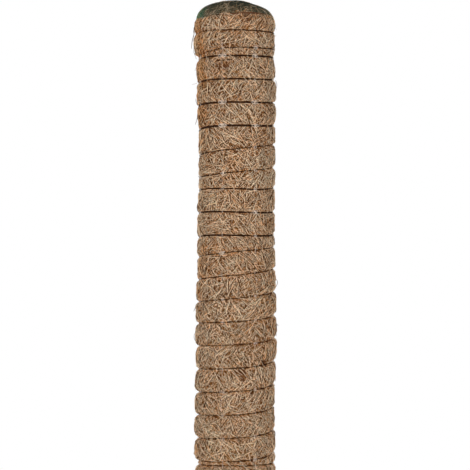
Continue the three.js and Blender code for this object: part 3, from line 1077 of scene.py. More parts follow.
def bound_fibres(rng, middle, layer):
    """Fibres that lie on one bulge and dive into the grooves beside it"""
    angle, height, share = fibre_lines(rng, middle, layer.segments, layer.length, layer.curl, LAY_SCATTER)
    whole = home_turn(*middle)[:, None]
    turn = whole + angle / TAU
    low = winding_height(turn)
    high = winding_height(turn + 1)
    held_low = groove_share(turn) > 0.5
    held_high = groove_share(turn + 1) > 0.5
    under = (held_low & (height < low)) | (held_high & (height > high))
    lowest = low + GROOVE_MARGIN + TIGHT_MARGIN * tight_share(turn)
    highest = high - GROOVE_MARGIN - TIGHT_MARGIN * tight_share(turn + 1)
    height = np.where(held_low, np.maximum(height, lowest), height)
    height = np.where(held_high, np.minimum(height, highest), height)
    count = len(angle)
    arched = rng.gamma(2.0, layer.arch / 2, (count, 1)) * (np.sin(math.pi * share) - ARCH_SINK)
    raised = rng.normal(*layer.level, (count, 1)) + arched
    settled = smooth_step(np.minimum(height - low, high - height) / SETTLING_WIDTH)
    held = held_low | held_high
    raised = np.where(held, raised * (SETTLED_SHARE + (1 - SETTLED_SHARE) * settled), raised)
    felt = np.where(held, bulge_radius(angle, height, whole), felt_radius(angle, height))
    pulled_out = layer.outer & (rng.uniform(0, 1, (count, 1)) < PULLED_OUT_SHARE)
    sunk = under | (pulled_out & in_bare_spot(angle, height))
    radius = np.where(sunk, GROOVE_RADIUS - SUNK_DEPTH, felt + raised)
    return over_ends(rng, angle, radius, height, np.maximum(raised, 0))


def painted_shadows_beside(rng, paths):
    """Paths of painted shadows at one side of fibres: their paths again, a step round the pole and a little
    deeper
    """
    step = np.where(rng.uniform(0, 1, (len(paths), 1)) < 0.5, 1, -1) * SHADOW_STEP / CREST
    x, y, z = np.moveaxis(paths, 2, 0)
    deeper = 1 - SHADOW_DEPTH / CREST
    turned_x = deeper * (x * np.cos(step) - y * np.sin(step))
    turned_y = deeper * (x * np.sin(step) + y * np.cos(step))
    return np.stack([turned_x, turned_y, z], axis=-1)


def crossing_fibres(rng, middle, segments, length, curl, lift):
    """Loose fibres that lie on top and cross the grooves"""
    angle, height, share = fibre_lines(rng, middle, segments, length, curl, LOOSE_SCATTER)
    raised = rng.uniform(0.5 * lift, lift, (len(angle), 1)) * rounded(share)
    radius = felt_radius(angle, height) + raised - LOOSE_SINK
    return over_ends(rng, angle, radius, height, np.maximum(raised, 0))


def stray_fibres(rng, middle, segments, length, curl, reach):
    """Hairs that start in the felt and stand away from it at their free end"""
    angle, height, share = fibre_lines(rng, middle, segments, length, curl, LOOSE_SCATTER)
    raised = rng.gamma(STRAY_SPREAD, reach / STRAY_SPREAD, (len(angle), 1)) * share**2 - STRAY_SINK
    return over_ends(rng, angle, felt_radius(angle, height) + raised, height, np.maximum(raised, 0))


def fibre_set(rng, paths, middle, thickness, tone, tone_spread):
    """Fibre solids with each one's tone and tint as its place on the bake map"""
    angle, height = middle
    count, rings, _ = paths.shape
    taper = TIP_SHARE + (1 - TIP_SHARE) * rounded(np.linspace(0, 1, rings))
    thin, thick = thickness
    radii = (thin + (thick - thin) * rng.uniform(0, 1, (count, 1)) ** 2) / 2 * taper
    points, quads, ends = tubes(paths, radii, FIBRE_SIDES, roll=rng.uniform(0, TAU, count))
    # Painted shade: fibres darken towards the mat's top edge
    painted_shade = LIP_PAINTED_SHADE * smooth_step((height - LIP + LIP_PAINTED_SHADE_HEIGHT) / LIP_PAINTED_SHADE_HEIGHT)
    drift = TONE_DRIFT * soft_noise(angle, height, *TONE_PATCHES) - painted_shade
    tones = np.clip(rng.normal(tone, tone_spread, count) + drift, 0, 1 - TONE_CELL)
    tints = MIDDLE_TINT + TINT_DRIFT * soft_noise(angle, height, *TINT_PATCHES)
    tints = tints + rng.normal(0, TINT_SCATTER, count)
    flecked = 0.5 + 0.5 * soft_noise(angle, height, *RUST_FLECKS)
    tints = np.clip(tints - RUST_TINT * rust_share(angle, height) * flecked, 0, 1 - TONE_CELL)
    wander = rng.normal(0, TONE_WANDER, (count, rings))
    place = np.zeros((count, rings, FIBRE_SIDES, 2))
    place[..., 0] = np.clip(tones[:, None] + wander, 0, 1)[..., None]
    place[..., 1] = tints[:, None, None] + TONE_CELL * (np.arange(FIBRE_SIDES) / FIBRE_SIDES)
    return points, quads, ends, place.reshape(-1, 2)


def halved(fibres):
    """A fibre set as two, with the lower and the upper half of the fibres"""
    points, quads, ends, places = fibres
    count = len(ends) // 2
    half = count // 2
    cut = half * (len(points) // count)
    quad_cut = half * (len(quads) // count)
    ends = ends.reshape(2, count, FIBRE_SIDES)
    lower = points[:cut], quads[:quad_cut], ends[:, :half].reshape(-1, FIBRE_SIDES), places[:cut]
    upper = points[cut:], quads[quad_cut:] - cut, ends[:, half:].reshape(-1, FIBRE_SIDES) - cut, places[cut:]
    return lower, upper


def make_fibre_piece(name, sets):
    """Sets of fibres as one piece"""
    points, faces = joined([s[:3] for s in sets])
    places = np.concatenate([s[3] for s in sets])
    make_piece(name, points, faces, coir_fibre, bake_places=places)


def make_layer_pieces(name, fibres):
    """A layer of fibres as one piece, or as two where it has many triangles"""
    _, quads, ends, _ = fibres
    if 2 * len(quads) + len(ends) <= MOST_TRIANGLES:
        make_fibre_piece(name, [fibres])
        return
    lower, upper = halved(fibres)
    make_fibre_piece(name + "_lower", [lower])
    make_fibre_piece(name + "_upper", [upper])


# Long light fibres that stand out at the front: angle in degrees, height, heading in degrees and length
LONG_FIBRES = (
    (-14, 324.0, -49, 25.0),
    (18, 304.0, -49, 8.0),
    (23, 314.0, 42, 9.6),
    (3, 331.0, 15, 15.0),
    (-48, 333.0, 51, 10.0),
    (17, 333.0, -49, 13.5),
    (47, 333.0, -53, 8.5),
    (-13, 298.0, -51, 14.5),
    (1, 282.5, -38, 11.0),
    (15, 287.0, -33, 11.0),
    (24, 281.5, -56, 6.5),
    (-8, 285.5, 37, 7.0),
    (-11, 267.0, -38, 10.5),
    (2, 267.5, -53, 13.5),
    (2, 157.0, -53, 12.0),
    (31, 150.5, 38, 8.0),
    (17, 151.0, 11, 7.0),
    (-22, 71.0, -45, 19.0),
    (-12, 58.0, -48, 9.0),
    (28, 74.0, -24, 9.0),
    (-30, 90.0, -40, 9.0),
)
LONG_FIBRE_POINTS = 11
LONG_FIBRE_LIFT = 1.15
LONG_FIBRE_BEND = 0.008
LONG_FIBRE_THICKNESS = (0.32, 0.40)
LONG_FIBRE_TONE = (0.98, 0.01)

# Hairs that stand off the sides, each through three places: angle in degrees, height and gap to the fibres
HAIRS = (
    ((-88, 346.0, 0.0), (-90, 336.0, 1.5), (-91, 328.0, 2.6)),
    ((-85, 339.0, 0.0), (-87, 330.0, 0.8), (-88, 321.0, 1.9)),
    ((-80, 343.0, 0.2), (-84, 339.0, 1.4), (-86, 334.0, 1.2)),
    ((-86, 287.0, -0.3), (-88, 282.5, 1.0), (-90, 278.0, 2.7)),
    ((-88, 295.0, 1.4), (-90, 291.0, 1.1), (-90, 286.5, 0.0)),
    ((90, 307.0, 1.6), (90, 303.5, 1.3), (90, 300.0, 0.2)),
    ((88, 177.0, 0.0), (90, 173.8, 2.0), (90, 169.5, -0.2)),
    ((-88, 160.5, 0.0), (-90, 157.5, 1.1), (-90, 155.0, 2.1)),
    ((-90, 141.5, 0.3), (-90, 138.5, 1.7), (-90, 134.5, 0.3)),
    ((88, 148.0, 0.1), (90, 146.5, 1.0), (91, 145.5, 1.8)),
    ((88, 114.0, 0.0), (90, 112.0, 0.9), (91, 109.0, 1.2)),
)
HAIR_POINTS = 9
HAIR_LIFT = 0.4
HAIR_THICKNESS = (0.34, 0.46)
HAIR_TONE = (0.03, 0.05)


def long_fibres(rng):
    """The long light fibres, slightly bent"""
    degrees, height, heading, length = np.transpose(LONG_FIBRES)[..., None]
    along = length * np.linspace(-0.5, 0.5, LONG_FIBRE_POINTS)
    bend = np.radians(heading) + rng.normal(0, LONG_FIBRE_BEND, height.shape) * along
    angle = np.radians(degrees) + along * np.cos(bend) / CREST
    height = height + along * np.sin(bend)
    return on_pole(angle, felt_radius(angle, height) + LONG_FIBRE_LIFT, height)


def standing_hairs():
    """Each hair as a parabola through its three places"""
    t = np.linspace(0, 1, HAIR_POINTS)
    weights = np.stack([(1 - t) * (1 - 2 * t), 4 * t * (1 - t), t * (2 * t - 1)])
    degrees, height, gap = np.moveaxis(np.array(HAIRS), 2, 0) @ weights
    angle = np.radians(degrees)
    return on_pole(angle, felt_radius(angle, height) + HAIR_LIFT + gap, height)


def first_places(paths):
    """Angle and height of each path's first point"""
    return np.arctan2(paths[:, 0, 0], -paths[:, 0, 1]), paths[:, 0, 2]


# Layers of bound fibres from the felt outwards: how far they lie off it, how they arch, their tone, how
# far their middles keep from the grooves, and whether they are missing in the bare spots
FibreLayer = namedtuple("FibreLayer", "name count segments length curl thickness level arch tone clear outer")
FIBRE_LAYERS = (
    FibreLayer(
        "coir_deep_fibres", 9000, segments=4, length=(4, 9), curl=0.3, thickness=(0.30, 0.50),
        level=(0.05, 0.10), arch=0.2, tone=(0.12, 0.08), clear=0, outer=False,
    ),
    FibreLayer(
        "coir_under_fibres", 11000, segments=3, length=(3, 7), curl=0.3, thickness=(0.22, 0.36),
        level=(0.22, 0.12), arch=0.3, tone=(0.46, 0.24), clear=0, outer=True,
    ),
    FibreLayer(
        "coir_middle_fibres", 15000, segments=3, length=(3, 8), curl=0.1, thickness=(0.20, 0.34),
        level=(0.38, 0.14), arch=0.3, tone=(0.64, 0.24), clear=0, outer=True,
    ),
    FibreLayer(
        "coir_dark_flecks", 12500, segments=1, length=(1.0, 2.6), curl=0.0, thickness=(0.38, 0.64),
        level=(0.60, 0.10), arch=0.1, tone=(0.0, 0.05), clear=0.8, outer=True,
    ),
    FibreLayer(
        "coir_fine_flecks", 19500, segments=1, length=(0.8, 2.0), curl=0.0, thickness=(0.34, 0.60),
        level=(0.74, 0.12), arch=0.1, tone=(0.93, 0.08), clear=0, outer=True,
    ),
    FibreLayer(
        "coir_light_flecks", 19000, segments=1, length=(1.4, 3.6), curl=0.0, thickness=(0.32, 0.72),
        level=(0.84, 0.14), arch=0.1, tone=(0.96, 0.06), clear=0, outer=True,
    ),
    FibreLayer(
        "coir_light_fibres", 4200, segments=4, length=(5, 13), curl=0.05, thickness=(0.27, 0.58),
        level=(1.00, 0.16), arch=0.3, tone=(0.98, 0.03), clear=0, outer=True,
    ),
)
# Layers whose light fibres get dark fibres beside them as painted shadows
SHADOWED_LAYERS = ("coir_fine_flecks", "coir_light_flecks", "coir_light_fibres")

# Kinds of loose fibres: straight ones, curled ones and dark stray hairs
LooseKind = namedtuple("LooseKind", "lay count segments length curl lift thickness tone")
LOOSE_KINDS = (
    LooseKind(
        crossing_fibres, 330, segments=8, length=(10, 24), curl=0.12, lift=1.1,
        thickness=(0.26, 0.36), tone=(0.97, 0.03),
    ),
    LooseKind(
        crossing_fibres, 700, segments=8, length=(6, 15), curl=0.5, lift=0.9,
        thickness=(0.22, 0.34), tone=(0.85, 0.14),
    ),
    LooseKind(
        stray_fibres, 450, segments=7, length=(5, 12), curl=0.9, lift=0.9,
        thickness=(0.2, 0.3), tone=(0.2, 0.12),
    ),
)

# Short fibres beside the grooves: how far from the thread they lie, and at least, more so if it is tight
EDGE_COUNT = 6500
EDGE_POINTS = 4
EDGE_LENGTH = (1.5, 4.5)
EDGE_GAP = (0.45, 1.3)
EDGE_LEAST_GAP = 0.42
EDGE_TIGHT_GAP = 0.45
EDGE_LIFT = (0.15, 0.45)
EDGE_THICKNESS = (0.24, 0.40)
EDGE_TONE = (0.52, 0.22)


def groove_distance(angle, height):
    """How far places lie from the groove above or under them"""
    around = np.mod(angle, TAU)
    turn = home_turn(around, height) + around / TAU
    return np.minimum(height - winding_height(turn), winding_height(turn + 1) - height)


def edge_fibres(rng, count):
    """Short fibres along both sides of the grooves, which run up to the thread"""
    turn = rng.uniform(START_TURN, END_TURN, (count, 1))
    side = np.where(rng.uniform(0, 1, (count, 1)) < 0.5, 1, -1)
    heading = rng.normal(0, 1.0, (count, 1))
    along = rng.uniform(*EDGE_LENGTH, (count, 1)) * np.linspace(-0.5, 0.5, EDGE_POINTS)
    turn = turn + along * np.cos(heading) / (CREST * TAU)
    gap = rng.uniform(*EDGE_GAP, (count, 1)) + along * np.sin(heading)
    gap = np.maximum(gap, EDGE_LEAST_GAP + EDGE_TIGHT_GAP * tight_share(turn))
    angle = TAU * turn
    height = winding_height(turn) + side * gap
    radius = felt_radius(angle, height) + rng.uniform(*EDGE_LIFT, (count, 1))
    return on_pole(angle, radius, height), (angle[:, 0], height[:, 0])


def make_layer(rng, layer):
    """One layer of bound fibres, and dark fibres beside them as painted shadows where the layer has them"""
    angle, height = spread_middles(rng, layer.count)
    clear = groove_distance(angle, height) >= layer.clear
    middle = angle[clear], height[clear]
    paths = bound_fibres(rng, middle, layer)
    make_layer_pieces(layer.name, fibre_set(rng, paths, middle, layer.thickness, *layer.tone))
    if layer.name in SHADOWED_LAYERS:
        # Dark copies of the fibres, offset to one side: painted shadows
        painted_shadows = fibre_set(rng, painted_shadows_beside(rng, paths), middle, SHADOW_THICKNESS, *SHADOW_TONE)
        make_layer_pieces(layer.name + "_gaps", painted_shadows)


def make_loose_fibres(rng):
    """The loose fibres all over the mat, and the long fibres and hairs in their own places"""
    middles = [spread_middles(rng, kind.count) for kind in LOOSE_KINDS]
    laid = []
    for kind, middle in zip(LOOSE_KINDS, middles):
        laid.append(kind.lay(rng, middle, kind.segments, kind.length, kind.curl, kind.lift))
    long_paths = long_fibres(rng)
    hair_paths = standing_hairs()
    sets = []
    for kind, middle, paths in zip(LOOSE_KINDS, middles, laid):
        sets.append(fibre_set(rng, paths, middle, kind.thickness, *kind.tone))
    sets.append(fibre_set(rng, long_paths, first_places(long_paths), LONG_FIBRE_THICKNESS, *LONG_FIBRE_TONE))
    sets.append(fibre_set(rng, hair_paths, first_places(hair_paths), HAIR_THICKNESS, *HAIR_TONE))
    make_fibre_piece("coir_loose_fibres", sets)


def make_fibres():
    """All the fibres of the mat, drawn from one row of random numbers"""
    rng = np.random.default_rng(FIBRE_SEED)
    for layer in FIBRE_LAYERS:
        make_layer(rng, layer)
    edge_paths, edge_places = edge_fibres(rng, EDGE_COUNT)
    edges = fibre_set(rng, edge_paths, edge_places, EDGE_THICKNESS, *EDGE_TONE)
    make_fibre_piece("coir_edge_fibres", [edges])
    make_loose_fibres(rng)


# The binding thread

THREAD_STEP = 0.5
THREAD_LAY = 3.0
THREAD_SIDES = 8
THREAD_LOBES = 0.16
# How far the thread wanders in its groove, with this much height of noise to a turn
THREAD_RISE = 0.22
THREAD_SINK = 0.12
NOISE_PER_TURN = 12
# How far out the thread comes to its knots, over which share of a turn
KNOT_LIFT = 1.9
KNOT_RAMP_TURNS = 0.1
# On tight turns the dark thread is drawn thicker, as painted shade of their open grooves
PAINTED_SHADE_THICKENING = 0.75


def make_binding_thread():
    """One twisted pair wound round the pole, rising to its knots at both ends"""
    steps = int(TURN_COUNT * TAU * BINDING_RADIUS / THREAD_STEP)
    turn = np.linspace(START_TURN, END_TURN, steps + 1)
    angle = TAU * turn
    height = winding_height(turn) + THREAD_RISE * soft_noise(angle, turn * NOISE_PER_TURN, *BINDING_HEIGHTS)
    from_end = np.minimum(turn - START_TURN, END_TURN - turn)
    knot_radius = GROOVE_RADIUS + KNOT_LIFT
    radius = thread_radius(turn) + THREAD_SINK * soft_noise(angle, turn * NOISE_PER_TURN, *BINDING_DEPTHS)
    radius = knot_radius + (radius - knot_radius) * smooth_step(from_end / KNOT_RAMP_TURNS)
    path = on_pole(angle, radius, height)[None]
    twist = (TAU / THREAD_LAY) * THREAD_STEP * np.arange(steps + 1)
    # Painted shade: the thicker dark thread stands in for the shadow in the open grooves of tight turns
    thickness = BINDING_DIAMETER * (1.0 + PAINTED_SHADE_THICKENING * tight_share(turn))
    points, *faces = tubes(path, thickness / 2, THREAD_SIDES, lobes=THREAD_LOBES, twist=twist)
    make_piece("binding_thread_twist", points, faces, binding_brown, ("binding_thread",))


# Loose ends of the same thread on the mat: angle in degrees, height, heading in degrees and length
THREAD_ENDS = (
    (-17, 318.2, 3, 10.0),
    (45, 122.0, -50, 6.0),
    (60, 166.0, 30, 5.0),
    (150, 232.0, -20, 8.0),
    (235, 98.0, 40, 6.0),
)
THREAD_END_POINTS = 13
THREAD_END_SIDES = 6
THREAD_END_LIFT = 0.5
THREAD_END_RADIUS = 0.35 * BINDING_DIAMETER
THREAD_END_WAVE = 0.3
THREAD_END_WAVES = 0.9


def make_thread_ends():
    """The loose ends, slightly wavy"""
    parts = []
    for degrees, middle, heading, length in THREAD_ENDS:
        along = length * np.linspace(-0.5, 0.5, THREAD_END_POINTS)
        angle = math.radians(degrees) + along * math.cos(math.radians(heading)) / CREST
        wave = THREAD_END_WAVE * np.sin(THREAD_END_WAVES * along)
        height = middle + along * math.sin(math.radians(heading)) + wave
        radius = crest_radius(height) + lumps(angle, height) + THREAD_END_LIFT
        parts.append(tubes(on_pole(angle, radius, height)[None], THREAD_END_RADIUS, THREAD_END_SIDES))
    points, faces = joined(parts)
    make_piece("binding_thread_ends", points, faces, binding_brown)


# Knots: the size of their trefoil, how deep it folds, and the points and sides of its tube
KNOT_SIZE = 0.36
KNOT_FOLD = 1.2
KNOT_DEPTH = 0.8
KNOT_POINTS = 72
KNOT_SIDES = 7
KNOT_RADIUS = BINDING_DIAMETER / 2 * 0.9
# Tail of a knot: how far it runs sideways and out, how it rises and droops, and how its radius tapers
TAIL_POINTS = 10
TAIL_LENGTH = 5.0
TAIL_LIFT = 0.9
TAIL_RISE = 0.5
TAIL_DROOP = 1.5
TAIL_TAPER = (0.9, 0.6)


def make_knot(node):
    """A tied knot, a trefoil, with a short tail, where the solid has its barrel"""
    low, high = node_box(node)
    centre = (low + high) / 2
    up = np.array([0, 0, 1])
    outward = centre * (1, 1, 0) / np.linalg.norm(centre[:2])
    sideways = np.array([-outward[1], outward[0], 0])
    t = np.linspace(0, TAU, KNOT_POINTS + 1)[:-1, None]
    across = np.sin(t) + 2 * np.sin(2 * t)
    along = np.cos(t) - 2 * np.cos(2 * t)
    deep = -KNOT_FOLD * np.sin(3 * t)
    path = centre + KNOT_SIZE * (across * sideways + along * up + KNOT_DEPTH * deep * outward)
    knot = tubes(np.concatenate([path, path[:1]])[None], KNOT_RADIUS, KNOT_SIDES)
    s = np.linspace(0, 1, TAIL_POINTS)[:, None]
    side = 1 if centre[2] > LIP / 2 else -1
    droop = TAIL_RISE * s - TAIL_DROOP * s**2
    tail = centre + side * s * TAIL_LENGTH * sideways + droop * up + TAIL_LIFT * s * outward
    tail_tube = tubes(tail[None], BINDING_DIAMETER / 2 * np.linspace(*TAIL_TAPER, TAIL_POINTS), KNOT_SIDES)
    points, faces = joined([knot, tail_tube])
    make_piece(node + "_tied", points, faces, binding_brown, (node,))


# The lengthwise threads

# How far from the foot the threads start, their steps, the angle by which they sway, and how they dive in
# and out of the mat
LENGTHWISE_INSET = 2.5
LENGTHWISE_STEP = 0.8
LENGTHWISE_SWAY = 0.025
LENGTHWISE_DIVE = 0.9
LENGTHWISE_SINK = 0.3
LENGTHWISE_SLOPE = 0.35
LENGTHWISE_SIDES = 6
# Loops of a hitch: their points, their slack and its change, and how far along the thread they stray
LOOP_POINTS = 14
LOOP_SLACK = 1.7
LOOP_SLACK_CHANGE = 0.8
LOOP_STRAY = 0.25
LOOP_STRAY_RATE = 1.7
LOOP_LIFT = 0.5
LOOP_DEPTH = 0.6
LOOP_CLEARANCE = 0.05
LOOP_SIDES = 5
# Where a loop's slack is read from the noise: by its spin, its run and its turn
LOOP_NOISE_SPIN = 3.1
LOOP_NOISE_RUN = 30
LOOP_NOISE_TURN = 10
# Width, loops and thickness of a hitch with no strength, and how much more a full one has
HITCH_WIDTH = 1.0
HITCH_WIDENING = 3.0
HITCH_MORE_LOOPS = 5
HITCH_THICKNESS = 0.7
HITCH_THICKENING = 0.4
WEAK_HITCH = 0.5
SLIGHTEST_HITCH = 0.12
HITCH_SEED = 19


def crossing_turns(angle):
    """Turns at which the binding thread passes an angle"""
    first = math.ceil(START_TURN - angle / TAU)
    last = math.floor(END_TURN - angle / TAU)
    return np.arange(first, last + 1) + angle / TAU


def hitch_path(angle, turn, width, loops, rng):
    """Loose loops of thin thread that lie along the binding thread"""
    t = np.linspace(0, 1, LOOP_POINTS * loops + 1)
    spin = TAU * loops * t + rng.uniform(0, TAU)
    girth = BINDING_DIAMETER / 2 + LENGTHWISE_DIAMETER / 2 + LOOP_CLEARANCE
    noise_height = LOOP_NOISE_RUN * t + LOOP_NOISE_TURN * turn
    change = LOOP_SLACK_CHANGE * soft_noise(spin / LOOP_NOISE_SPIN, noise_height, *HITCH_LOOPS)
    slack = girth * (LOOP_SLACK + change)
    stray = LOOP_STRAY * width * np.sin(LOOP_STRAY_RATE * spin)
    around = angle + (width * (t - 0.5) + stray) / BINDING_RADIUS
    height = winding_height(turn + (around - angle) / TAU) + slack * np.sin(spin)
    radius = thread_radius(turn) + LOOP_LIFT + LOOP_DEPTH * girth * np.cos(spin)
    return on_pole(around, radius, height)


# Large hitches and their strength, by thread index and turn
STRONG_HITCHES = {
    (0, 12): 0.6,
    (0, 18): 1.0,
    (0, 19): 1.0,
    (0, 21): 1.0,
    (1, 14): 0.6,
    (1, 18): 1.0,
    (1, 19): 0.8,
    (1, 21): 0.7,
    (3, 8): 0.8,
    (4, 15): 1.0,
    (5, 20): 1.0,
}


def lengthwise_path(index, angle, turns):
    """A thread that dives in and out of the mat and passes over the binding thread"""
    height = np.arange(FOOT + LENGTHWISE_INSET, LIP - LIP_SOFTENING_HEIGHT, LENGTHWISE_STEP)
    place = np.full_like(height, index)
    around = angle + LENGTHWISE_SWAY * soft_noise(place, height, *LENGTHWISE_SWAYS, index)
    dive = LENGTHWISE_DIVE * soft_noise(place, height, *LENGTHWISE_DEPTHS, index) - LENGTHWISE_SINK
    radius = felt_radius(around, height) + LENGTHWISE_DIAMETER / 2 + dive
    near = np.min(np.abs(height[:, None] - winding_height(turns)[None, :]), axis=1)
    over = BINDING_RADIUS + BINDING_DIAMETER / 2 + LENGTHWISE_DIAMETER / 2
    return on_pole(around, np.maximum(radius, over - LENGTHWISE_SLOPE * near), height)


def make_lengthwise_threads():
    """Threads along the pole, each with its hitches over the binding thread"""
    rng = np.random.default_rng(HITCH_SEED)
    for index in range(LENGTHWISE_COUNT):
        angle = LENGTHWISE_FIRST_ANGLE + TAU * index / LENGTHWISE_COUNT
        turns = crossing_turns(angle)
        parts = [tubes(lengthwise_path(index, angle, turns)[None], LENGTHWISE_DIAMETER / 2, LENGTHWISE_SIDES)]
        for turn in turns:
            weak = WEAK_HITCH * rng.uniform(0, 1) ** 2
            strength = STRONG_HITCHES.get((index, round(turn - angle / TAU)), weak)
            if strength < SLIGHTEST_HITCH:
                continue
            width = HITCH_WIDTH + HITCH_WIDENING * strength
            path = hitch_path(angle, turn, width, 1 + round(HITCH_MORE_LOOPS * strength), rng)
            thickness = HITCH_THICKNESS + HITCH_THICKENING * strength
            parts.append(tubes(path[None], LENGTHWISE_DIAMETER / 2 * thickness, LOOP_SIDES))
        points, faces = joined(parts)
        name = f"lengthwise_thread_{index + 1}"
        make_piece(name + "_hitched", points, faces, nylon_grey, (name,))


# The net on the domed top, and its sleeve down the pole

NET_GAP = 1.6
NET_STRAND = 0.48
NET_STRAND_POINTS = 91
NET_STRAND_SIDES = 5
NET_SWAY = 0.5
NET_WEAVE = 0.16
# Where a strand's sway is read from the noise: by its number and its run
NET_NOISE_STEP = 0.31
NET_NOISE_START = 150
NET_NOISE_STRETCH = 3
SLEEVE_WALL = 0.4
SLEEVE_INSET = 0.15
SLEEVE_SIDES = 96


def net_strands(direction):
    """Strands of the net over the dome in one direction, passing over and under the others"""
    count = math.floor(DOME_REACH / NET_GAP)
    number = np.arange(-count, count + 1)[:, None]
    half = np.sqrt(DOME_REACH**2 - (number * NET_GAP) ** 2)
    run = half * np.sin(np.linspace(-1, 1, NET_STRAND_POINTS) * math.pi / 2)
    noise_angle = number * NET_NOISE_STEP + 0 * run
    noise_height = NET_NOISE_START + run * NET_NOISE_STRETCH
    sway = NET_SWAY * soft_noise(noise_angle, noise_height, *NET_SWAYS, direction)
    side = number * NET_GAP + sway * np.sqrt(np.maximum(1 - (run / half) ** 2, 0))
    over = np.where(number % 2 == direction, 1, -1)
    lift = NET_WEAVE * over * np.cos(math.pi * run / NET_GAP) - NET_STRAND / 2
    across = (run, side) if direction == 0 else (side, run)
    return on_dome(*across, lift)


def net_tube():
    """The sleeve under the mat, a thin tube that widens to the dome"""
    outside = DOME_RADIUS - TOP_SWELL - SLEEVE_INSET
    inside = outside - SLEEVE_WALL
    profile = (
        (inside, FOOT),
        (outside, FOOT),
        (outside, SWELL_BASE),
        (outside + TOP_SWELL, DOME_BASE),
        (outside + TOP_SWELL - SLEEVE_WALL, DOME_BASE),
        (inside, SWELL_BASE),
    )
    angle = TAU * np.arange(SLEEVE_SIDES) / SLEEVE_SIDES
    points = np.concatenate([on_pole(angle, radius, height) for radius, height in profile])
    rows = np.arange(len(points)).reshape(len(profile), SLEEVE_SIDES)
    return points, band(rows, np.roll(rows, -1, axis=0))


def make_net():
    """The net: knitted over the dome, and a plain sleeve where the mat hides it"""
    strands = [tubes(net_strands(direction), NET_STRAND / 2, NET_STRAND_SIDES) for direction in (0, 1)]
    points, faces = joined([*strands, net_tube()])
    make_piece("net_sleeve_knit", points, faces, net_green, ("net_sleeve",))


# The coir fill, and short fibres at its ends

FILL_DOME_INSET = 1.5
FILL_SIDE_INSET = 0.3
FILL_ROUGHNESS = 0.12
FILL_NOISE_STRETCH = 3
FILL_SIDES = 96
FILL_DOME_ROWS = 13
FILL_FOOT_ROWS = 9


def make_core():
    """The fill: hidden but for its rough foot and the dome under the net"""
    dome_rise = DOME_HEIGHT - FILL_DOME_INSET
    dome_radius = CORE_RADIUS - FILL_SIDE_INSET
    shares = np.linspace(0, 1, FILL_DOME_ROWS + 1)[:-1]
    dome = [(dome_radius * float(dome_width(s)), DOME_BASE + dome_rise * s) for s in shares]
    bore = STAKE_RADIUS + CLEARANCE
    side = CORE_RADIUS - TOP_SWELL
    foot = [(bore + (side - bore) * s, CORE_FOOT) for s in np.linspace(0, 1, FILL_FOOT_ROWS)]
    profile = [
        (0, STAKE_TOP + CLEARANCE),
        (bore, STAKE_TOP + CLEARANCE),
        *foot,
        (side, SWELL_BASE),
        *dome,
        (0, DOME_BASE + DOME_HEIGHT - FILL_DOME_INSET),
    ]

    def rough(angle, height):
        return FILL_ROUGHNESS * soft_noise(angle + 0 * height, height * FILL_NOISE_STRETCH, *FILL_LUMPS)

    points, faces = lathe(profile, FILL_SIDES, rough)
    points[:, 2] -= slump(points[:, 0], points[:, 2])
    make_piece("fibre_core_fill", points, faces, coir_fill, ("fibre_core",))


def scattered_lines(rng, start, rings, length, curl):
    """Fibres on a flat disc from places this far from its middle, with those places' angles and an arch"""
    count = len(start)
    share = np.linspace(0, 1, rings)
    angle = rng.uniform(0, TAU, (count, 1))
    heading = rng.uniform(0, TAU, (count, 1)) + rng.normal(0, curl, (count, 1)) * share
    lengths = rng.uniform(*length, (count, 1))
    x = start * np.sin(angle) + np.cumsum(np.cos(heading) * lengths / rings, axis=1)
    y = -start * np.cos(angle) + np.cumsum(np.sin(heading) * lengths / rings, axis=1)
    return x, y, angle[:, 0], np.sin(math.pi * share)


# How unevenly the arches of these short fibres differ
ARCH_SPREAD = 1.5

FOOT_SEED = 23
FOOT_FIBRE_COUNT = 900
FOOT_FIBRE_POINTS = 5
FOOT_FIBRE_LENGTH = (2.5, 7)
FOOT_FIBRE_CURL = 1.2
FOOT_FIBRE_THICKNESS = (0.25, 0.45)
FOOT_FIBRE_TONE = (0.45, 0.2)
FOOT_FIBRE_DROP = 0.5
# How far from the stake and from the mat's crest these fibres start and end
FOOT_STAKE_GAP = 1.0
FOOT_START_GAP = 1.5
FOOT_CREST_GAP = 0.5


def make_foot_fibres():
    """Cut fibre ends on the foot of the mat and of the fill"""
    rng = np.random.default_rng(FOOT_SEED)
    inner = STAKE_RADIUS + FOOT_STAKE_GAP
    start = np.sqrt(rng.uniform(inner**2, (CREST - FOOT_START_GAP) ** 2, (FOOT_FIBRE_COUNT, 1)))
    x, y, angle, sag = scattered_lines(rng, start, FOOT_FIBRE_POINTS, FOOT_FIBRE_LENGTH, FOOT_FIBRE_CURL)
    distance = np.hypot(x, y)
    keep = np.clip(distance, inner, CREST - FOOT_CREST_GAP) / np.maximum(distance, 1e-6)
    level = np.where(start < MAT_BORE, CORE_FOOT - FOOT_COVER, FOOT - FOOT_COVER)
    drop = rng.gamma(ARCH_SPREAD, FOOT_FIBRE_DROP, (FOOT_FIBRE_COUNT, 1)) * sag
    paths = np.stack([x * keep, y * keep, level - drop], axis=-1)
    middle = angle, np.full(FOOT_FIBRE_COUNT, FOOT)
    fibres = fibre_set(rng, paths, middle, FOOT_FIBRE_THICKNESS, *FOOT_FIBRE_TONE)
    make_fibre_piece("coir_foot_fibres", [fibres])


DOME_SEED = 29
DOME_FIBRE_COUNT = 640
DOME_FIBRE_POINTS = 7
DOME_FIBRE_LENGTH = (1.5, 8.0)
DOME_FIBRE_CURL = 0.15
DOME_FIBRE_THICKNESS = (0.07, 0.14)
DOME_FIBRE_TONE = (1.08, 0.06)
DOME_FIBRE_LIFT = 0.05
DOME_FIBRE_ARCH = 0.08
# Shares of the way from the dome's top to its base within which these fibres start
DOME_FIBRE_LOWEST = 0.92
DOME_FIBRE_SPREAD = 0.72


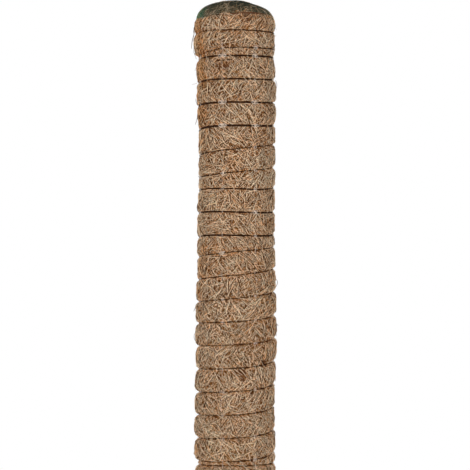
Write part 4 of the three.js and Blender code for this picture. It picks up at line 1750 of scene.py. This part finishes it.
def make_dome_fibres():
    """Short coir fibres on the net: many at the mat's edge and few towards the top"""
    rng = np.random.default_rng(DOME_SEED)
    up = rng.uniform(0, 1, (DOME_FIBRE_COUNT, 1)) ** 4
    reach = DOME_REACH * (DOME_FIBRE_LOWEST - DOME_FIBRE_SPREAD * up)
    u, v, angle, arch = scattered_lines(rng, reach, DOME_FIBRE_POINTS, DOME_FIBRE_LENGTH, DOME_FIBRE_CURL)
    lift = DOME_FIBRE_LIFT + rng.gamma(ARCH_SPREAD, DOME_FIBRE_ARCH, (DOME_FIBRE_COUNT, 1)) * arch
    middle = angle, np.full(DOME_FIBRE_COUNT, LIP)
    fibres = fibre_set(rng, on_dome(u, v, lift), middle, DOME_FIBRE_THICKNESS, *DOME_FIBRE_TONE)
    make_fibre_piece("coir_dome_fibres", [fibres])


# The stake

STAKE_POINT_LENGTH = 32
STAKE_TIP_RADIUS = 2.0
STAKE_CHAMFER = 1.5
STAKE_FLATS = 7
STAKE_SIDES = 84
STAKE_POINT_ROWS = 12
STAKE_SHAFT_ROWS = 40
STAKE_SHAFT_GAP = 2
STAKE_ROUGHNESS = 0.1
# How far above the point its flats run out, and over which height
FLATS_RUN_OUT = 3
FLATS_FADE = 8


def stake_cone(height):
    """Radius of the stake at a height, round and without its chamfer"""
    share = np.clip((height - STAKE_TIP) / STAKE_POINT_LENGTH, 0, 1)
    return STAKE_TIP_RADIUS + (STAKE_RADIUS - STAKE_TIP_RADIUS) * share


def make_stake():
    """A round stake with a point cut in flats"""
    point_top = STAKE_TIP + STAKE_POINT_LENGTH
    point = np.linspace(STAKE_TIP, point_top, STAKE_POINT_ROWS)
    shaft = np.linspace(point_top + STAKE_SHAFT_GAP, STAKE_TOP - STAKE_CHAMFER, STAKE_SHAFT_ROWS)
    heights = np.concatenate([point, shaft])
    top = [(STAKE_RADIUS - STAKE_CHAMFER, STAKE_TOP), (0, STAKE_TOP)]
    profile = [(0, STAKE_TIP), *zip(stake_cone(heights), heights), *top]

    def cut(angle, height):
        sector = np.mod(angle * STAKE_FLATS / TAU, 1) - 0.5
        flat = 1 / np.cos(sector * TAU / STAKE_FLATS) * math.cos(math.pi / STAKE_FLATS) - 1
        on_point = smooth_step((point_top + FLATS_RUN_OUT - height) / FLATS_FADE)
        rough = STAKE_ROUGHNESS * soft_noise(angle + 0 * height, height - STAKE_TIP, *STAKE_LUMPS)
        return on_point * flat * stake_cone(height) + rough

    points, faces = lathe(profile, STAKE_SIDES, cut)
    make_piece("stake_pointed", points, faces, stake_wood, ("stake",))


# Stage, light and camera

FLOOR_RADIUS = 1000.0
FLOOR_SIDES = 96
FLOOR_GAP = 0.3
FLOOR_GREY = 0.88
FLOOR_ROUGHNESS = 0.9
WORLD_LIGHT = 0.10
# Softboxes with their places in metres, watts and sizes in metres, and the place they face
SOFTBOXES = (
    ("left_softbox", (-0.94, -1.20, 0.40), 13.9, (0.5, 0.8)),
    ("right_softbox", (0.94, -1.20, 0.40), 12.5, (0.5, 0.8)),
    ("back_softbox", (0.0, 1.5, 0.30), 14.0, (0.6, 0.8)),
)
POLE_MIDDLE = (0.0, 0.0, 0.2)


def make_stage():
    """A pale round floor under the stake's tip"""
    floor = bpy.data.meshes.new("floor")
    angles = [TAU * i / FLOOR_SIDES for i in range(FLOOR_SIDES)]
    reach = FLOOR_RADIUS * MM
    ring = [(reach * math.cos(angle), reach * math.sin(angle), 0) for angle in angles]
    floor.from_pydata(ring, [], [list(range(FLOOR_SIDES))])
    floor_object = bpy.data.objects.new("floor", floor)
    floor_object.location = (0, 0, (STAKE_TIP - FLOOR_GAP) * MM)
    bpy.context.scene.collection.objects.link(floor_object)
    material = bpy.data.materials.new("pale_floor")
    material.use_nodes = True
    shader = material.node_tree.nodes["Principled BSDF"]
    shader.inputs["Base Color"].default_value = (FLOOR_GREY, FLOOR_GREY, FLOOR_GREY, 1)
    shader.inputs["Roughness"].default_value = FLOOR_ROUGHNESS
    floor.materials.append(material)


def make_world():
    """A world that is white where it is seen and weak as a light"""
    world = bpy.data.worlds.new("studio")
    world.use_nodes = True
    tree = world.node_tree
    bpy.context.scene.world = world
    background = tree.nodes["Background"]
    path = add_node(tree, "ShaderNodeLightPath").outputs
    seen = math_node(tree, "MAXIMUM", path["Is Camera Ray"], path["Is Glossy Ray"])
    seen = math_node(tree, "MAXIMUM", seen, path["Is Transmission Ray"])
    strength = add_node(
        tree, "ShaderNodeMapRange", {"Value": seen, "To Min": WORLD_LIGHT, "To Max": 1.0}
    ).outputs[0]
    background.inputs["Color"].default_value = (1, 1, 1, 1)
    tree.links.new(strength, background.inputs["Strength"])


def make_lights():
    """Softboxes that face the pole's middle"""
    for name, place, watts, size in SOFTBOXES:
        light = bpy.data.lights.new(name, "AREA")
        light.shape = "RECTANGLE"
        light.size, light.size_y = size
        light.energy = watts
        lamp = bpy.data.objects.new(name, light)
        lamp.location = place
        toward = np.array(POLE_MIDDLE) - np.array(place)
        flat = math.hypot(toward[0], toward[1])
        lamp.rotation_euler = (math.atan2(flat, -toward[2]), 0, math.atan2(-toward[0], toward[1]))
        bpy.context.scene.collection.objects.link(lamp)


def make_camera():
    """A level camera whose picture is as wide at the pole as the photograph"""
    data = bpy.data.cameras.new("front_camera")
    data.sensor_width = SENSOR_WIDTH
    data.lens = SENSOR_WIDTH * CAMERA_DISTANCE / (PIXELS_ACROSS * MM_PER_PIXEL)
    camera = bpy.data.objects.new("front_camera", data)
    camera.location = (CAMERA_SIDE * MM, -CAMERA_DISTANCE * MM, CAMERA_HEIGHT * MM)
    camera.rotation_euler = (math.pi / 2, 0, 0)
    bpy.context.scene.collection.objects.link(camera)
    bpy.context.scene.camera = camera


make_camera()
make_felt()
make_fibres()
make_binding_thread()
make_thread_ends()
make_knot("binding_knot_bottom")
make_knot("binding_knot_top")
make_lengthwise_threads()
make_net()
make_core()
make_foot_fibres()
make_dome_fibres()
make_stake()
make_stage()
make_world()
make_lights()

bpy.context.scene.view_settings.view_transform = "Standard"
